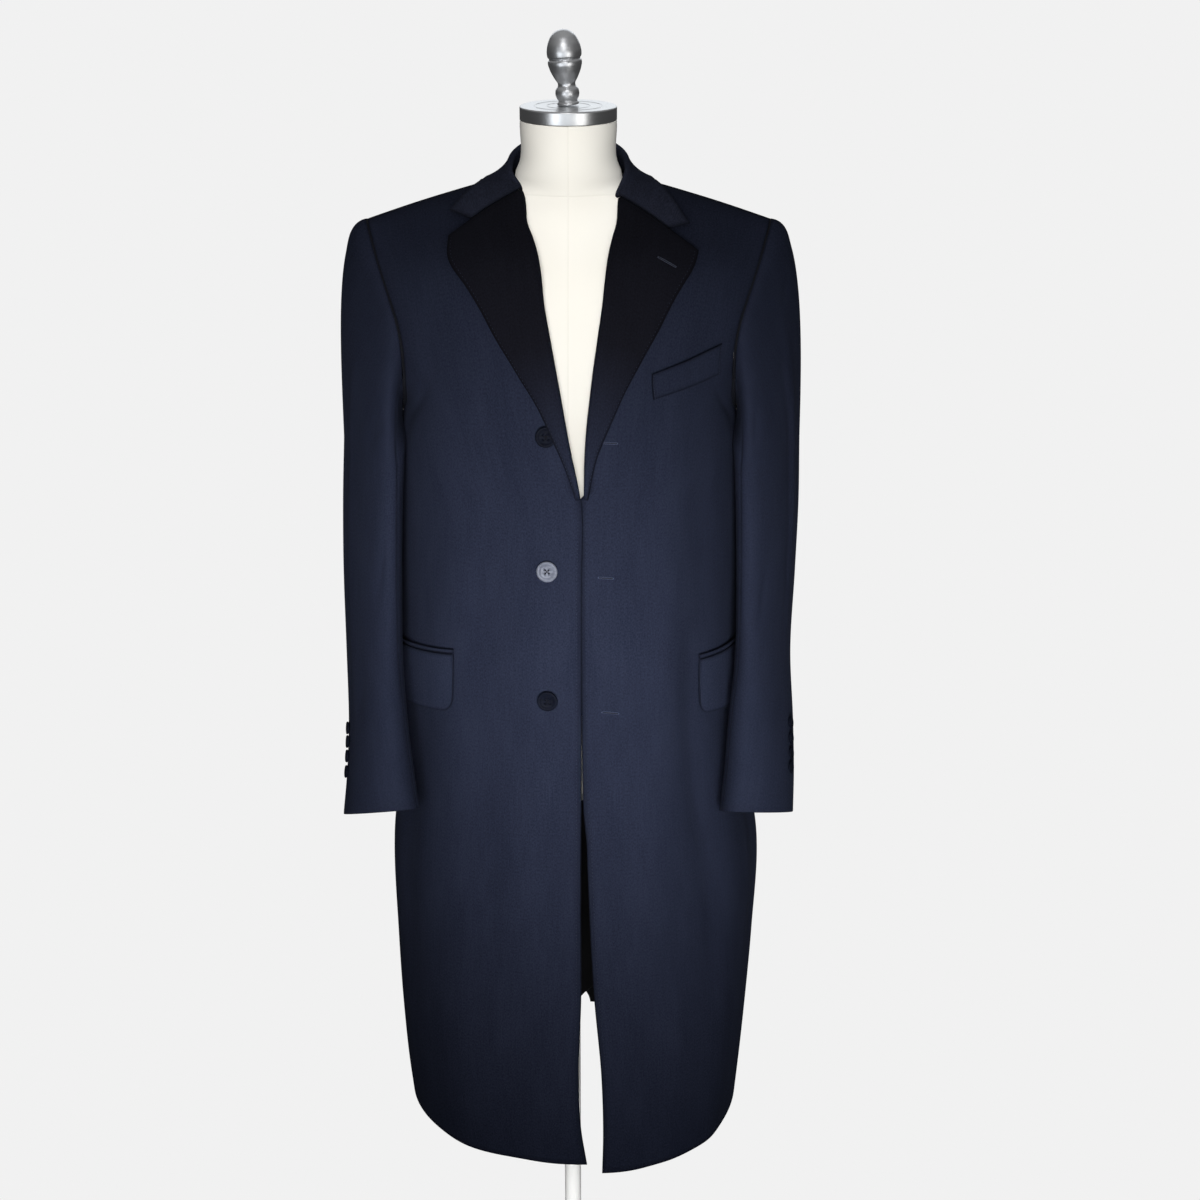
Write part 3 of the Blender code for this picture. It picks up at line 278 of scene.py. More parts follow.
BACK_CREASES = {
    RIGHT: rows_of(Crease,
        ("blade", 0.46, 0.900, 0.05, 0.42, 0.050, 0.0036),
        ("waist_hollow", 0.34, 0.690, -0.04, 0.50, 0.032, -0.0040),
        ("seat_fold", 0.58, 0.420, 0.08, 0.74, 0.030, 0.0050),
        ("skirt_trough", 0.76, 0.300, 0.04, 0.60, 0.022, -0.0046),
        ("vent_pull", 0.18, 0.330, 0.30, 0.34, 0.016, -0.0022),
        ("hem_wave", 0.36, 0.070, -0.12, 0.42, 0.026, 0.0034),
        ("armhole_drape", 0.80, 0.890, 0.40, 0.28, 0.018, -0.0030),
    ),
    LEFT: rows_of(Crease,
        ("blade", 0.50, 0.910, -0.04, 0.38, 0.046, 0.0034),
        ("waist_hollow", 0.30, 0.700, 0.06, 0.58, 0.028, -0.0036),
        ("seat_fold", 0.50, 0.400, -0.05, 0.68, 0.028, 0.0054),
        ("skirt_trough", 0.68, 0.340, 0.02, 0.56, 0.020, -0.0050),
        ("side_roll", 0.84, 0.300, 0.02, 0.54, 0.022, 0.0030),
        ("vent_roll", 0.12, 0.200, 0.12, 0.42, 0.020, 0.0026),
        ("armhole_drape", 0.84, 0.880, 0.50, 0.24, 0.016, -0.0026),
    ),
}
# On the sleeves at is the angle round the arm and up is the way down it.
SLEEVE_GIRTH = 0.47
SLEEVE_CREASES = {
    RIGHT: rows_of(Crease,
        ("press_line", -52.0, 1.10, 4.0, 1.50, 0.010, 0.0018),
        ("head_roll", -20.0, 0.16, 0.0, 0.26, 0.060, 0.0016),
        ("front_break", -98.0, 0.78, 60.0, 0.34, 0.012, -0.0022),
        ("elbow_break", -118.0, 1.26, 90.0, 0.26, 0.011, -0.0020),
        ("elbow_fold", 96.0, 1.30, -70.0, 0.40, 0.014, -0.0042),
        ("elbow_roll", 72.0, 1.42, -60.0, 0.42, 0.014, 0.0034),
        ("back_drape", 60.0, 0.62, 40.0, 0.60, 0.022, -0.0040),
        ("wrist_break", -70.0, 1.60, 120.0, 0.20, 0.010, -0.0014),
    ),
    LEFT: rows_of(Crease,
        ("press_line", -46.0, 0.95, 3.0, 1.40, 0.009, 0.0026),
        ("outer_hollow", -26.0, 0.95, 3.0, 1.30, 0.012, -0.0018),
        ("fold_line", -56.0, 0.95, 3.0, 1.50, 0.0045, -0.0013),
        ("head_dimple", -36.0, 0.36, 10.0, 0.10, 0.009, -0.0022),
        ("head_roll", -10.0, 0.14, 0.0, 0.24, 0.060, 0.0016),
        ("front_break", -112.0, 0.70, -50.0, 0.36, 0.012, -0.0020),
        ("elbow_break", -104.0, 1.34, -80.0, 0.24, 0.011, -0.0018),
        ("elbow_fold", 88.0, 1.24, 60.0, 0.44, 0.014, -0.0044),
        ("elbow_roll", 66.0, 1.38, 60.0, 0.40, 0.014, 0.0032),
        ("back_drape", 52.0, 0.58, -30.0, 0.62, 0.024, -0.0038),
    ),
}


# ------------------------------------------------------------------ small tools
def spline(knots, rows, at, corner=None, sharpness=0.0):
    """A smooth curve through rows, read at many places at once.

    Rows are one vector a knot, or one list of vectors a knot, with a vector for
    each place. At the knot numbered corner the curve may turn sharply.
    """
    knots, rows = np.asarray(knots, float), np.asarray(rows, float)
    at = np.atleast_1d(np.asarray(at, float))
    slopes = np.gradient(rows, knots, axis=0)
    index = np.clip(np.searchsorted(knots, at) - 1, 0, len(knots) - 2)
    each = np.arange(len(at))

    def pick(table, numbers):
        return table[numbers] if table.ndim == 2 else table[numbers, each]
    span = (knots[index + 1] - knots[index])[:, None]
    start, end = pick(rows, index), pick(rows, index + 1)
    start_slope, end_slope = pick(slopes, index), pick(slopes, index + 1)
    chord = (end - start) / span
    if corner is not None:
        sharpness = np.asarray(sharpness)[:, None]
        start_slope = start_slope + (index == corner)[:, None] * sharpness * (chord - start_slope)
        end_slope = end_slope + (index + 1 == corner)[:, None] * sharpness * (chord - end_slope)
    t = (at - knots[index])[:, None] / span
    return ((1 + 2 * t) * (1 - t) ** 2 * start + t * (1 - t) ** 2 * span * start_slope
            + t * t * (3 - 2 * t) * end + t * t * (t - 1) * span * end_slope)


def smooth_step(low, high, value):
    t = np.clip((np.asarray(value, float) - low) / (high - low), 0.0, 1.0)
    return t * t * (3 - 2 * t)


def unit(vectors):
    return vectors / np.linalg.norm(vectors, axis=-1, keepdims=True)


def quarter(start, end, roundness, share, sweep=90.0):
    """Part of a superellipse seen from above, from the centre line to the side."""
    power, last = 2 / roundness, math.radians(sweep)
    angle = share * last
    run = np.sign(angle) * np.abs(np.sin(angle)) ** power / math.sin(last) ** power
    left_over = max(math.cos(last), 0.0) ** power
    rise = (np.maximum(np.cos(angle), 0.0) ** power - left_over) / (1 - left_over)
    fall = (1 + np.cos(math.pi * share)) / 2
    return np.stack((start[0] + (end[0] - start[0]) * run,
                     end[1] + (start[1] - end[1]) * rise,
                     end[2] + (start[2] - end[2]) * fall), axis=-1)


def relief(creases, breadth, at, up):
    """How far the creases raise the cloth, in metres."""
    raised = np.zeros_like(at)
    for crease in creases:
        middle = crease.at + crease.lean * (up - crease.up)
        aside = (at - middle) * breadth / crease.width
        along = np.clip(np.abs(up - crease.up) / (crease.length / 2), 0.0, 1.0)
        raised += crease.height * (1 - along ** 2) ** 2 * np.exp(-aside ** 2)
    return raised


def facing(surface, a, b, limits):
    """Unit normals of surface(a, b), by differences that stay inside the limits."""
    (a_low, a_high), (b_low, b_high) = limits
    step = 1e-3
    across = (surface(np.minimum(a + step, a_high), b) - surface(np.maximum(a - step, a_low), b))
    along = (surface(a, np.minimum(b + step, b_high)) - surface(a, np.maximum(b - step, b_low)))
    return unit(np.cross(across, along))


def mirrored(points, side):
    return points * np.array((side, 1.0, 1.0))


def arrays(*values):
    """The values as flat arrays of one length."""
    return [np.array(value, float).ravel() for value in np.broadcast_arrays(*values)]


# ------------------------------------------------------------- the coat's surface
UPS = [row.z - SKIRT[0].z for row in SKIRT] + [row.up for row in YOKE] + [SHOULDER_UP]
OVER_UP = 2 * SHOULDER_UP - YOKE[-1].up
PIT_KNOT = len(SKIRT)
BODY_LIMITS = ((0.0, 1.0), (0.0, SHOULDER_UP))
REACHING_LIMITS = ((-0.2, 1.0), (0.0, SHOULDER_UP))


def front_edge(row, side):
    return row.left_edge if side == LEFT else -row.right_edge


def side_width(row, side):
    return row.left_width if side == LEFT else row.right_width


def shoulder_point(share):
    start, end = np.array(NECK_POINT), np.array(ARMHOLE["tip"])
    seam = start + share[:, None] * (end - start)
    seam[:, 2] += SHOULDER_RISE * np.sin(math.pi * share)
    return seam


def front_section(row, side, across):
    return quarter((front_edge(row, side), row.front_y, row.front_z), ARMHOLE[row.front_hole],
                   row.front_round, across, row.front_sweep)


def back_section(row, across):
    return quarter((0.0, row.back_y, row.back_z), ARMHOLE[row.back_hole], row.back_round,
                   across, row.back_sweep)


def front_cut(side, across, up):
    """The front without creases, in the wearer's left frame, then on its own side."""
    across, up = arrays(across, up)
    rows = [quarter((front_edge(row, side), row.front_y, row.z),
                    (side_width(row, side), row.side_y, row.z), row.front_round, across)
            for row in SKIRT]
    rows += [front_section(row, side, across) for row in YOKE]
    rows.append(shoulder_point(across))
    rows.append(back_section(YOKE[-1], NECK_SHARE + across * (1 - NECK_SHARE)))
    points = spline(UPS + [OVER_UP], rows, up, PIT_KNOT, smooth_step(*NEAR_SIDE, across))
    points[:, 2] += HEM_RISE[side] * (1 - across) * (1 - smooth_step(0.0, HEM_REACH, up))
    drawn = (smooth_step(DRAW_FROM, DRAW_FULL, up) * (1 - smooth_step(DRAW_FULL, SHOULDER_UP, up))
             * (1 - across) ** DRAW_FADE)
    return mirrored(points - drawn[:, None] * np.array(NECK_DRAW[side]), side)


def back_top(across):
    neckline = quarter(NAPE, NECK_POINT, NECK_ROUND, np.clip(across / NECK_SHARE, 0.0, 1.0))
    seam = shoulder_point(np.clip((across - NECK_SHARE) / (1 - NECK_SHARE), 0.0, 1.0))
    return np.where((across >= NECK_SHARE)[:, None], seam, neckline)


def back_cut(side, across, up):
    across, up = arrays(across, up)
    rows = [quarter((0.0, row.back_y, row.z), (side_width(row, side), row.side_y, row.z),
                    row.back_round, across) for row in SKIRT]
    rows += [back_section(row, across) for row in YOKE]
    top = back_top(np.maximum(across, 0.0))
    over = front_section(YOKE[-1], side,
                         np.clip((across - NECK_SHARE) / (1 - NECK_SHARE), 0.0, 1.0))
    rows += [top, np.where((across >= NECK_SHARE)[:, None], over, 2 * top - rows[-1])]
    points = spline(UPS + [OVER_UP], rows, up, PIT_KNOT, smooth_step(*NEAR_SIDE, across))
    points[:, 2] += BACK_HEM_RISE * (1 - across) * (1 - smooth_step(0.0, HEM_REACH, up))
    return mirrored(points, side)


def seams_held(across, up):
    """1 in the open cloth, 0 where the side, armhole and shoulder seams hold it."""
    return (smooth_step(0.0, HELD_ACROSS, 1 - across)
            * smooth_step(0.0, HELD_UP, SHOULDER_UP - up))


def under_arm(side, across, up):
    """How far the cloth by the top of the side seam stands out, under the sleeve."""
    out = (SIDE_FULLNESS * np.exp(-((up - SIDE_FULL_UP) / SIDE_FULL_LENGTH) ** 2)
           * smooth_step(*NEAR_SIDE, across))
    return side * out[:, None] * np.array((1.0, 0.0, 0.0))


def front_cloth(side, across, up):
    """Middle of the front's wall with its creases."""
    across, up = arrays(across, up)
    raised = relief(FRONT_CREASES[side], FRONT_BREADTH, across, up) * seams_held(across, up)
    normal = facing(partial(front_cut, side), across, up, REACHING_LIMITS)
    return (front_cut(side, across, up) + side * normal * raised[:, None]
            + under_arm(side, across, up))


def back_cloth(side, across, up):
    across, up = arrays(across, up)
    raised = (relief(BACK_CREASES[side], BACK_BREADTH, across, up) * seams_held(across, up)
              * smooth_step(0.0, HELD_CENTRE, across))
    normal = facing(partial(back_cut, side), across, up, REACHING_LIMITS)
    return (back_cut(side, across, up) - side * normal * raised[:, None]
            + under_arm(side, across, up))


def on_front(side, across, up, lift):
    """Points of the front moved out along its normals."""
    across, up = arrays(across, up)
    normal = facing(partial(front_cloth, side), across, up, REACHING_LIMITS)
    return front_cloth(side, across, up) + side * normal * np.reshape(lift, (-1, 1))


def edge_share(side, up, distance):
    """The share across the front at a distance from its edge."""
    up = np.atleast_1d(up)
    span = np.linalg.norm(front_cut(side, PROBE, up) - front_cut(side, 0.0, up), axis=1)
    return PROBE * (distance / span) ** EDGE_EASE


# --------------------------------------------------------------- lapels, collar
def lapel_height(up):
    return LAPEL_REST + (LAPEL_STAND - LAPEL_REST) * (
        smooth_step(*FOOT_STAND, up) * (1 - smooth_step(STAND_FROM, STAND_TO, up)))


def roll_out(up):
    return CLOTH_WALL / 2 + SEAM_GAP + ROLL_FLATNESS * lapel_height(up) / 2


def lapel_top(side, across):
    gorge = GORGE_UP[side]
    start = edge_share(side, gorge, roll_out(gorge))[0]
    peak = LAPEL_EDGE[side][-1]
    return gorge + (across - start) / (peak.across - start) * (peak.up - gorge)


def lapel_point(side, u, w):
    """u below 0 runs round the roll, 0 to 1 across the lapel; w from foot to top."""
    u, w = arrays(u, w)
    edge = LAPEL_EDGE[side]
    edge_up = edge[0].up + w * (edge[-1].up - edge[0].up)
    edge_across = spline([point.up for point in edge], [(point.across,) for point in edge],
                         edge_up)[:, 0]
    fold_up = edge[0].up + w * (GORGE_UP[side] - edge[0].up)
    height = lapel_height(fold_up)
    start = edge_share(side, fold_up, roll_out(fold_up))
    share = np.maximum(u, 0.0)
    lying = on_front(side, start + share * (edge_across - start),
                     fold_up + share * (edge_up - fold_up), height)
    seat = front_cloth(side, start, fold_up)
    away = unit(front_cloth(side, 0.0, fold_up) - front_cloth(side, PROBE, fold_up))
    normal = unit(on_front(side, start, fold_up, 1.0) - seat)
    angle = ((1.0 + np.minimum(u, 0.0)) * math.pi)[:, None]
    radius = (height / 2)[:, None]
    rolled = (seat + away * ROLL_FLATNESS * radius * np.sin(angle)
              + normal * radius * (1 - np.cos(angle)))
    return np.where((u >= 0.0)[:, None], lying, rolled)


def collar_guides(side):
    start_up = GORGE_UP[side] + COLLAR_FOOT
    seat = front_cut(side, 0.0, start_up)[0]
    inward = unit(seat - front_cut(side, PROBE, start_up)[0])
    tip = COLLAR_TIP[side]
    rows = [(0.0, seat, seat + inward * (SEAM_GAP + LAPEL_REST * GORGE_SHARE),
             on_front(side, tip.across, tip.up, LAPEL_REST)[0])]
    for row in COLLAR:
        share = NECK_SHARE * (1 - float(smooth_step(COLLAR[0].around, 1.0, row.around)))
        seat = mirrored(back_top(np.array([share])), side)[0]
        edge = back_cut(side, row.edge_across, row.edge_up)[0]
        normal = facing(partial(back_cut, side), np.array([row.edge_across]),
                        np.array([row.edge_up]), BODY_LIMITS)[0]
        rows.append((row.around, seat, mirrored(np.array((row.fold_x, row.fold_y, row.fold_z)),
                                                side), edge - side * normal * LAPEL_REST))
    return rows


def collar_side(side, u, place):
    """The collar on one side: u 0 to 1 up the stand, to 2 over the fold, to 3 down
    the fall; place 0 at the gorge, 1 at the centre back."""
    rows = COLLAR_GUIDES[side]
    seat, fold, edge = (spline([row[0] for row in rows], [row[n] for row in rows], place)
                        for n in (1, 2, 3))
    rise = unit(fold - seat)
    out = edge - fold
    out = unit(out - rise * np.sum(out * rise, axis=1, keepdims=True))
    radius = LAPEL_REST / 2
    centre = fold - rise * radius
    foot = seat + rise * COLLAR_FOOT
    stand = foot + (centre - out * radius - foot) * np.clip(u, 0.0, 1.0)[:, None]
    angle = (np.clip(u - 1.0, 0.0, 1.0) * math.pi)[:, None]
    bend = centre + radius * (rise * np.sin(angle) - out * np.cos(angle))
    t = np.clip(u - 2.0, 0.0, 1.0)
    start = centre + out * radius
    control = start - rise * FALL_BULGE * np.linalg.norm(edge - start, axis=1, keepdims=True)
    curve = t[:, None]
    free = (1 - curve) ** 2 * start + 2 * curve * (1 - curve) * control + curve ** 2 * edge
    lying = collar_leaf(side, t, place)
    fall = lying + smooth_step(0.0, COLLAR[0].around, place)[:, None] * (free - lying)
    points = np.where((u <= 1.0)[:, None], stand, np.where((u <= 2.0)[:, None], bend, fall))
    off = [n for n in range(len(u)) if u[n] >= KEPT_OFF_FROM]
    points[off] = kept_off(points[off], BODY_SKIN, LAPEL_REST - CLOTH_WALL / 2, Vector((0, 0, 1)))
    return points


def collar_leaf(side, t, place):
    """The front end of the fall, which lies on the front above the gorge."""
    notch, tip = NOTCH[side], COLLAR_TIP[side]
    across = t * tip.across
    start_up = lapel_top(side, notch.across) + 2 * SEAM_GAP
    beyond = (start_up + (tip.up - start_up) * (across - notch.across)
              / (tip.across - notch.across))
    end_up = np.where(across < notch.across, lapel_top(side, across) + 2 * SEAM_GAP, beyond)
    up = np.minimum(end_up + place * LEAF_RISE, SHOULDER_UP)
    return on_front(side, across * (1 - LEAF_DRAW * place), up, LAPEL_REST)


def collar_point(u, around):
    u, around = arrays(u, around)
    left = around > 0
    points = np.empty((len(u), 3))
    for side, chosen in ((LEFT, left), (RIGHT, ~left)):
        points[chosen] = collar_side(side, u[chosen], 1.0 - np.abs(around[chosen]))
    return points


def kept_off(points, tree, gap, toward):
    """The points, each moved until it is at least gap from the skin, on toward's
    side, which is one direction or the way to one point."""
    moved = np.array(points, float)
    for n, point in enumerate(moved):
        place, normal, _, _ = tree.find_nearest(Vector(point))
        way = toward if toward.length == 1.0 else toward - Vector(point)
        if normal.dot(way) < 0:
            normal = -normal
        height = (Vector(point) - place).dot(normal)
        moved[n] = Vector(point) + normal * max(gap - height, 0.0)
    return moved


# --------------------------------------------------------------------- sleeves
def armhole_point(angle):
    loop = [ARMHOLE[name] for name in HOLE_ORDER]
    wrapped = [loop[-2], loop[-1]] + loop + [loop[0], loop[1]]
    knots = [45.0 * (n - 2) for n in range(len(wrapped))]
    return spline(knots, wrapped, angle % 360.0)


def ring_point(ring, side, angle):
    outer = ring.left_outer if side == LEFT else ring.right_outer
    inner = ring.left_inner if side == LEFT else ring.right_inner
    angle = np.radians(angle)
    depth = ring.half_depth * np.sin(angle + math.radians(ring.turn))
    outwards = (outer - inner) / 2 * np.cos(angle)
    slope = 1.0 - float(smooth_step(*CUFF_SLOPE, ring.z))
    return np.stack(((outer + inner) / 2 + outwards, ring.y + depth,
                     ring.z - slope * (depth * CUFF_TILT + outwards * CUFF_RISE[side])), axis=-1)


def sleeve_cut(side, angle, down):
    """Angle 0 outermost, 90 back, 180 innermost; down 0 to 1 over the head, then to
    the cuff at 2."""
    angle, down = arrays(angle, down)
    start, end = armhole_point(angle), ring_point(SLEEVE[0], side, angle)
    lateral, aside = np.cos(np.radians(angle)), np.abs(np.sin(np.radians(angle)))
    start[:, 0] += 2 * SEAM_GAP + CLOTH_WALL * (HEAD_STEP * (1 - lateral)
                                               + HEAD_STEP_ASIDE * aside)
    leave = np.stack((HEAD_FULLNESS * np.maximum(lateral, 0.0) ** 2 + HEAD_OUT,
                      HEAD_ASIDE * np.sin(np.radians(angle)), HEAD_UP * (1 - 2 * lateral)),
                     axis=-1)
    drop = np.zeros_like(start)
    drop[:, 2] = -np.linalg.norm(end - start, axis=1)
    t = np.clip(down, 0.0, 1.0)[:, None]
    head = ((1 + 2 * t) * (1 - t) ** 2 * start + t * (1 - t) ** 2 * leave
            + t * t * (3 - 2 * t) * end + t * t * (t - 1) * drop)
    arm = spline(np.linspace(1.0, 2.0, len(SLEEVE)),
                 [ring_point(ring, side, angle) for ring in SLEEVE], np.maximum(down, 1.0))
    return mirrored(np.where((down <= 1.0)[:, None], head, arm), side)


def sleeve_out(side, angle, down):
    """The ways out of the sleeve, read by its turn in radians."""
    normal = facing(lambda turn, b: sleeve_cut(side, turn * RADIAN, b), angle / RADIAN, down,
                    SLEEVE_LIMITS)
    return -side * normal


def sleeve_cloth(side, angle, down):
    angle, down = arrays(angle, down)
    turned = (angle + 180.0) % 360.0 - 180.0
    raised = relief(SLEEVE_CREASES[side], SLEEVE_GIRTH / 360.0, turned, down)
    raised *= (smooth_step(0.0, HELD_DOWN, down)
               * (1 - smooth_step(*HELD_TURN, np.abs(turned))))
    raised += (PIT_FULLNESS * np.exp(-((down - PIT_DOWN) / PIT_LENGTH) ** 2)
               * smooth_step(*PIT_TURN, np.abs(turned)))
    return (sleeve_cut(side, angle, down)
            + sleeve_out(side, angle, down) * raised[:, None])


def seam_angles(down):
    """The angles of the two seams at the head, the biceps and the cuff."""
    return (np.interp(down, (0.0, 1.0, 2.0), angles) for angles in (HINDARM, FOREARM))


# ------------------------------------------------------------- making the shells
def even_lines(length, pitch, edge):
    """Shares along a length: even lines of about one pitch, closer at both ends so
    that a turned edge of the given radius is round."""
    close = np.array((0.0, 0.1, 0.35, 0.7, 1.05)) * edge / length
    inner = np.linspace(close[-1], 1 - close[-1], max(int(length / pitch), 3) + 1)
    return np.concatenate((close[:-1], inner, 1 - close[-2::-1]))


def grid_of(surface, columns, rows):
    """Points of surface(a, b) on a grid, one row of points for each line in rows."""
    a, b = np.meshgrid(columns, rows)
    return surface(a.ravel(), b.ravel()).reshape(len(rows), len(columns), 3)


def grid_normals(grid, columns, rows, out):
    across = np.gradient(grid, columns, axis=1)
    along = np.gradient(grid, rows, axis=0)
    return out * unit(np.cross(across, along))


def reach(grid, axis):
    """How far each point of the grid is from its first line, along the cloth."""
    steps = np.linalg.norm(np.diff(grid, axis=axis), axis=2)
    walked = np.cumsum(steps, axis=axis)
    start = np.zeros_like(np.take(walked, [0], axis=axis))
    return np.concatenate((start, walked), axis=axis)


SKINS = {}                   # outer and inner grid of the coat's panels, by name


def net_quads(net):
    return np.stack((net[:-1, :-1], net[:-1, 1:], net[1:, 1:], net[1:, :-1]),
                    axis=-1).reshape(-1, 4)


def both_sides(outer, inner):
    """The outer grid's values, then the inner grid's from within its edge."""
    return np.concatenate([grid.reshape(-1, *grid.shape[2:])
                           for grid in (outer, inner[1:-1, 1:-1])])


def shell(name, surface, columns, rows, out, wall=SHELL, edge=0.0014, facing_width=None,
          rim=0.0040):
    """A thin closed shell on surface(a, b), with rounded edges.

    Out is the sign that turns the grid's normals to the side that shows. Faces of
    the inner side get the second material beyond the facing's width. The attribute
    rim fades from 1 at the edge to 0 at that distance in; the wool darkens by it,
    as painted shade along the cloth's edges.
    """
    columns, rows = np.asarray(columns), np.asarray(rows)
    middle = grid_of(surface, columns, rows)
    normals = grid_normals(middle, columns, rows, out)
    wide, tall = reach(middle, 1), reach(middle, 0)
    to_edge = np.minimum.reduce((wide, wide[:, -1:] - wide, tall, tall[-1:] - tall))
    swell = np.sqrt(1 - (1 - np.clip(to_edge / edge, 0.0, 1.0)) ** 2)[..., None]
    outer, inner = middle + normals * swell * wall / 2, middle - normals * swell * wall / 2
    SKINS[name] = outer, inner
    number = np.arange(wide.size).reshape(wide.shape)
    under = number.copy()
    within = under[1:-1, 1:-1]
    within[:] = number.size + np.arange(within.size).reshape(within.shape)
    top, bottom = net_quads(number), net_quads(under)[:, ::-1]
    if out < 0:
        top, bottom = top[:, ::-1], bottom[:, ::-1]
    mesh = bpy.data.meshes.new(name)
    mesh.from_pydata(both_sides(outer, inner).tolist(), [], np.concatenate((top, bottom)).tolist())
    half = len(columns) // 2
    place = np.stack(np.broadcast_arrays(wide, tall[:, half:half + 1]), axis=-1)
    place = both_sides(place, place)
    corner = np.empty(len(mesh.loops), int)
    mesh.loops.foreach_get("vertex_index", corner)
    mesh.uv_layers.new(name="cut").data.foreach_set("uv", place[corner].ravel())
    # painted edge shade: 1 at the cloth's edge, 0 one rim's distance in
    painted_edge_shade = 1 - np.clip(to_edge / rim, 0.0, 1.0)
    mesh.attributes.new("rim", "FLOAT", "POINT").data.foreach_set(
        "value", both_sides(painted_edge_shade, painted_edge_shade))
    if facing_width is not None:
        from_edge = ((wide[:-1, :-1] + wide[1:, 1:]) / 2).ravel()
        slots = np.concatenate((np.zeros(len(top), int), (from_edge > facing_width).astype(int)))
        mesh.polygons.foreach_set("material_index", slots)
    mesh.shade_smooth()
    mesh.update()
    cells = np.cross(middle[1:, 1:] - middle[:-1, :-1], middle[1:, :-1] - middle[:-1, 1:])
    area = float(np.linalg.norm(cells, axis=2).sum() / 2)
    return add_piece(name, mesh), float(wide[:, -1].max()), float(tall[-1].max()), area


def add_piece(name, mesh, matrix=None):
    if matrix is not None:
        mesh.transform(matrix)
    piece = bpy.data.objects.new(name, mesh)
    bpy.context.scene.collection.objects.link(piece)
    return piece


def dress(piece, node, slot, *finishes):
    """Gives a piece its finishes and the place of its plain solid."""
    for finish in finishes:
        piece.data.materials.append(finish)
    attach(piece, "root")
    if node:
        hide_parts(node)


def cut_piece(name, node, surface, columns, rows, out, rests_on, held, *finishes, **settings):
    """A piece of cloth in the place of its plain solid. Its cut's breadth, height and area are
    measured but not used.
    """
    piece, breadth, height, area = shell(name, surface, columns, rows, out, **settings)
    height = max(height, LEAST_CUT)
    dress(piece, node, "navy_wool", *finishes)


# ------------------------------------------------------------- effects (groups)
class Bench:
    """Adds and links the nodes of one tree."""

    def __init__(self, tree):
        self.tree = tree

    def feed(self, socket, value):
        if isinstance(value, bpy.types.NodeSocket):
            self.tree.links.new(value, socket)
        else:
            socket.default_value = value

    def add(self, kind, *values, **named):
        """A node. Lower-case names are its settings. The values, in order, and the
        other names go to its inputs."""
        node = self.tree.nodes.new(kind)
        for label, value in named.items():
            if label.islower():
                setattr(node, label, value)
        for socket, value in zip(node.inputs, values):
            self.feed(socket, value)
        for label, value in named.items():
            if not label.islower():
                self.feed(node.inputs[label.replace("_", " ")], value)
        return node

    def use(self, tree, **sockets):
        return self.add("ShaderNodeGroup", node_tree=tree, **sockets).outputs

    def math(self, operation, *values):
        return self.add("ShaderNodeMath", *values, operation=operation).outputs[0]

    def ramp(self, value, low, high, start=0.0, end=1.0):
        return self.add("ShaderNodeMapRange", value, low, high, start, end).outputs[0]

    def noise(self, vector, scale, detail=2.0, rough=0.5):
        stretched = self.add("ShaderNodeMapping", vector, Scale=scale).outputs[0]
        return self.add("ShaderNodeTexNoise", Vector=stretched, Scale=1.0, Detail=detail,
                        Roughness=rough).outputs[0]

    def blend(self, share, low, high):
        node = self.add("ShaderNodeMix", data_type="RGBA", Factor=share)
        for number, colour in ((6, low), (7, high)):
            self.feed(node.inputs[number],
                      (*colour, 1.0) if isinstance(colour, tuple) else colour)
        return node.outputs[2]


def group_tree(name, kind, inputs, outputs):
    """A node group: its bench, what it is given and what it makes. An input is a
    number, its default, or the name of a kind."""
    tree = bpy.data.node_groups.new(name, kind)
    for label, given in inputs.items():
        what = given if isinstance(given, str) else "Float"
        socket = tree.interface.new_socket(label, in_out="INPUT",
                                           socket_type=f"NodeSocket{what}")
        if what == "Float":
            socket.default_value = given
    for label, what in outputs.items():
        tree.interface.new_socket(label, in_out="OUTPUT", socket_type=f"NodeSocket{what}")
    bench = Bench(tree)
    return bench, bench.add("NodeGroupInput").outputs, bench.add("NodeGroupOutput").inputs


def brushed_nap():
    """Wool brushed down the grain: soft streaks, short fibres and faint clouds."""
    bench, given, made = group_tree(
        "brushed_nap", "ShaderNodeTree",
        {"Place": "Vector", "Streaks": 0.28, "Fibres": 1.25, "Clouds": 0.4},
        {"Shade": "Float", "Height": "Float"})
    streak = bench.noise(given["Place"], (330.0, 22.0, 1.0), detail=3.0)
    fibre = bench.noise(given["Place"], (640.0, 420.0, 1.0), detail=3.0, rough=0.6)
    cloud = bench.noise(given["Place"], (26.0, 9.0, 1.0))
    shade = 0.0
    for layer, label in ((streak, "Streaks"), (fibre, "Fibres"), (cloud, "Clouds")):
        shade = bench.math("MULTIPLY_ADD", bench.math("SUBTRACT", layer, 0.5), given[label],
                           shade)
    bench.feed(made["Shade"], bench.math("MULTIPLY_ADD", shade, 2.2, 0.5))
    bench.feed(made["Height"], bench.math("MULTIPLY_ADD", fibre, 0.75,
                                          bench.math("MULTIPLY", streak, 0.25)))
    return bench.tree


FULL_TURN = 6.283


def fine_weave():
    """The height of a plain or slanted weave of threads."""
    bench, given, made = group_tree(
        "fine_weave", "ShaderNodeTree", {"Place": "Vector", "Threads": 1200.0, "Slant": 0.0},
        {"Height": "Float"})
    apart = bench.add("ShaderNodeSeparateXYZ", given["Place"]).outputs
    turns = bench.math("MULTIPLY", given["Threads"], FULL_TURN)
    slanted = bench.math("ADD", apart[0], bench.math("MULTIPLY", apart[1], given["Slant"]))
    warp, weft = (bench.math("SINE", bench.math("MULTIPLY", way, turns))
                  for way in (slanted, apart[1]))
    bench.feed(made["Height"], bench.ramp(bench.math("MULTIPLY", warp, weft), -1.0, 1.0))
    return bench.tree


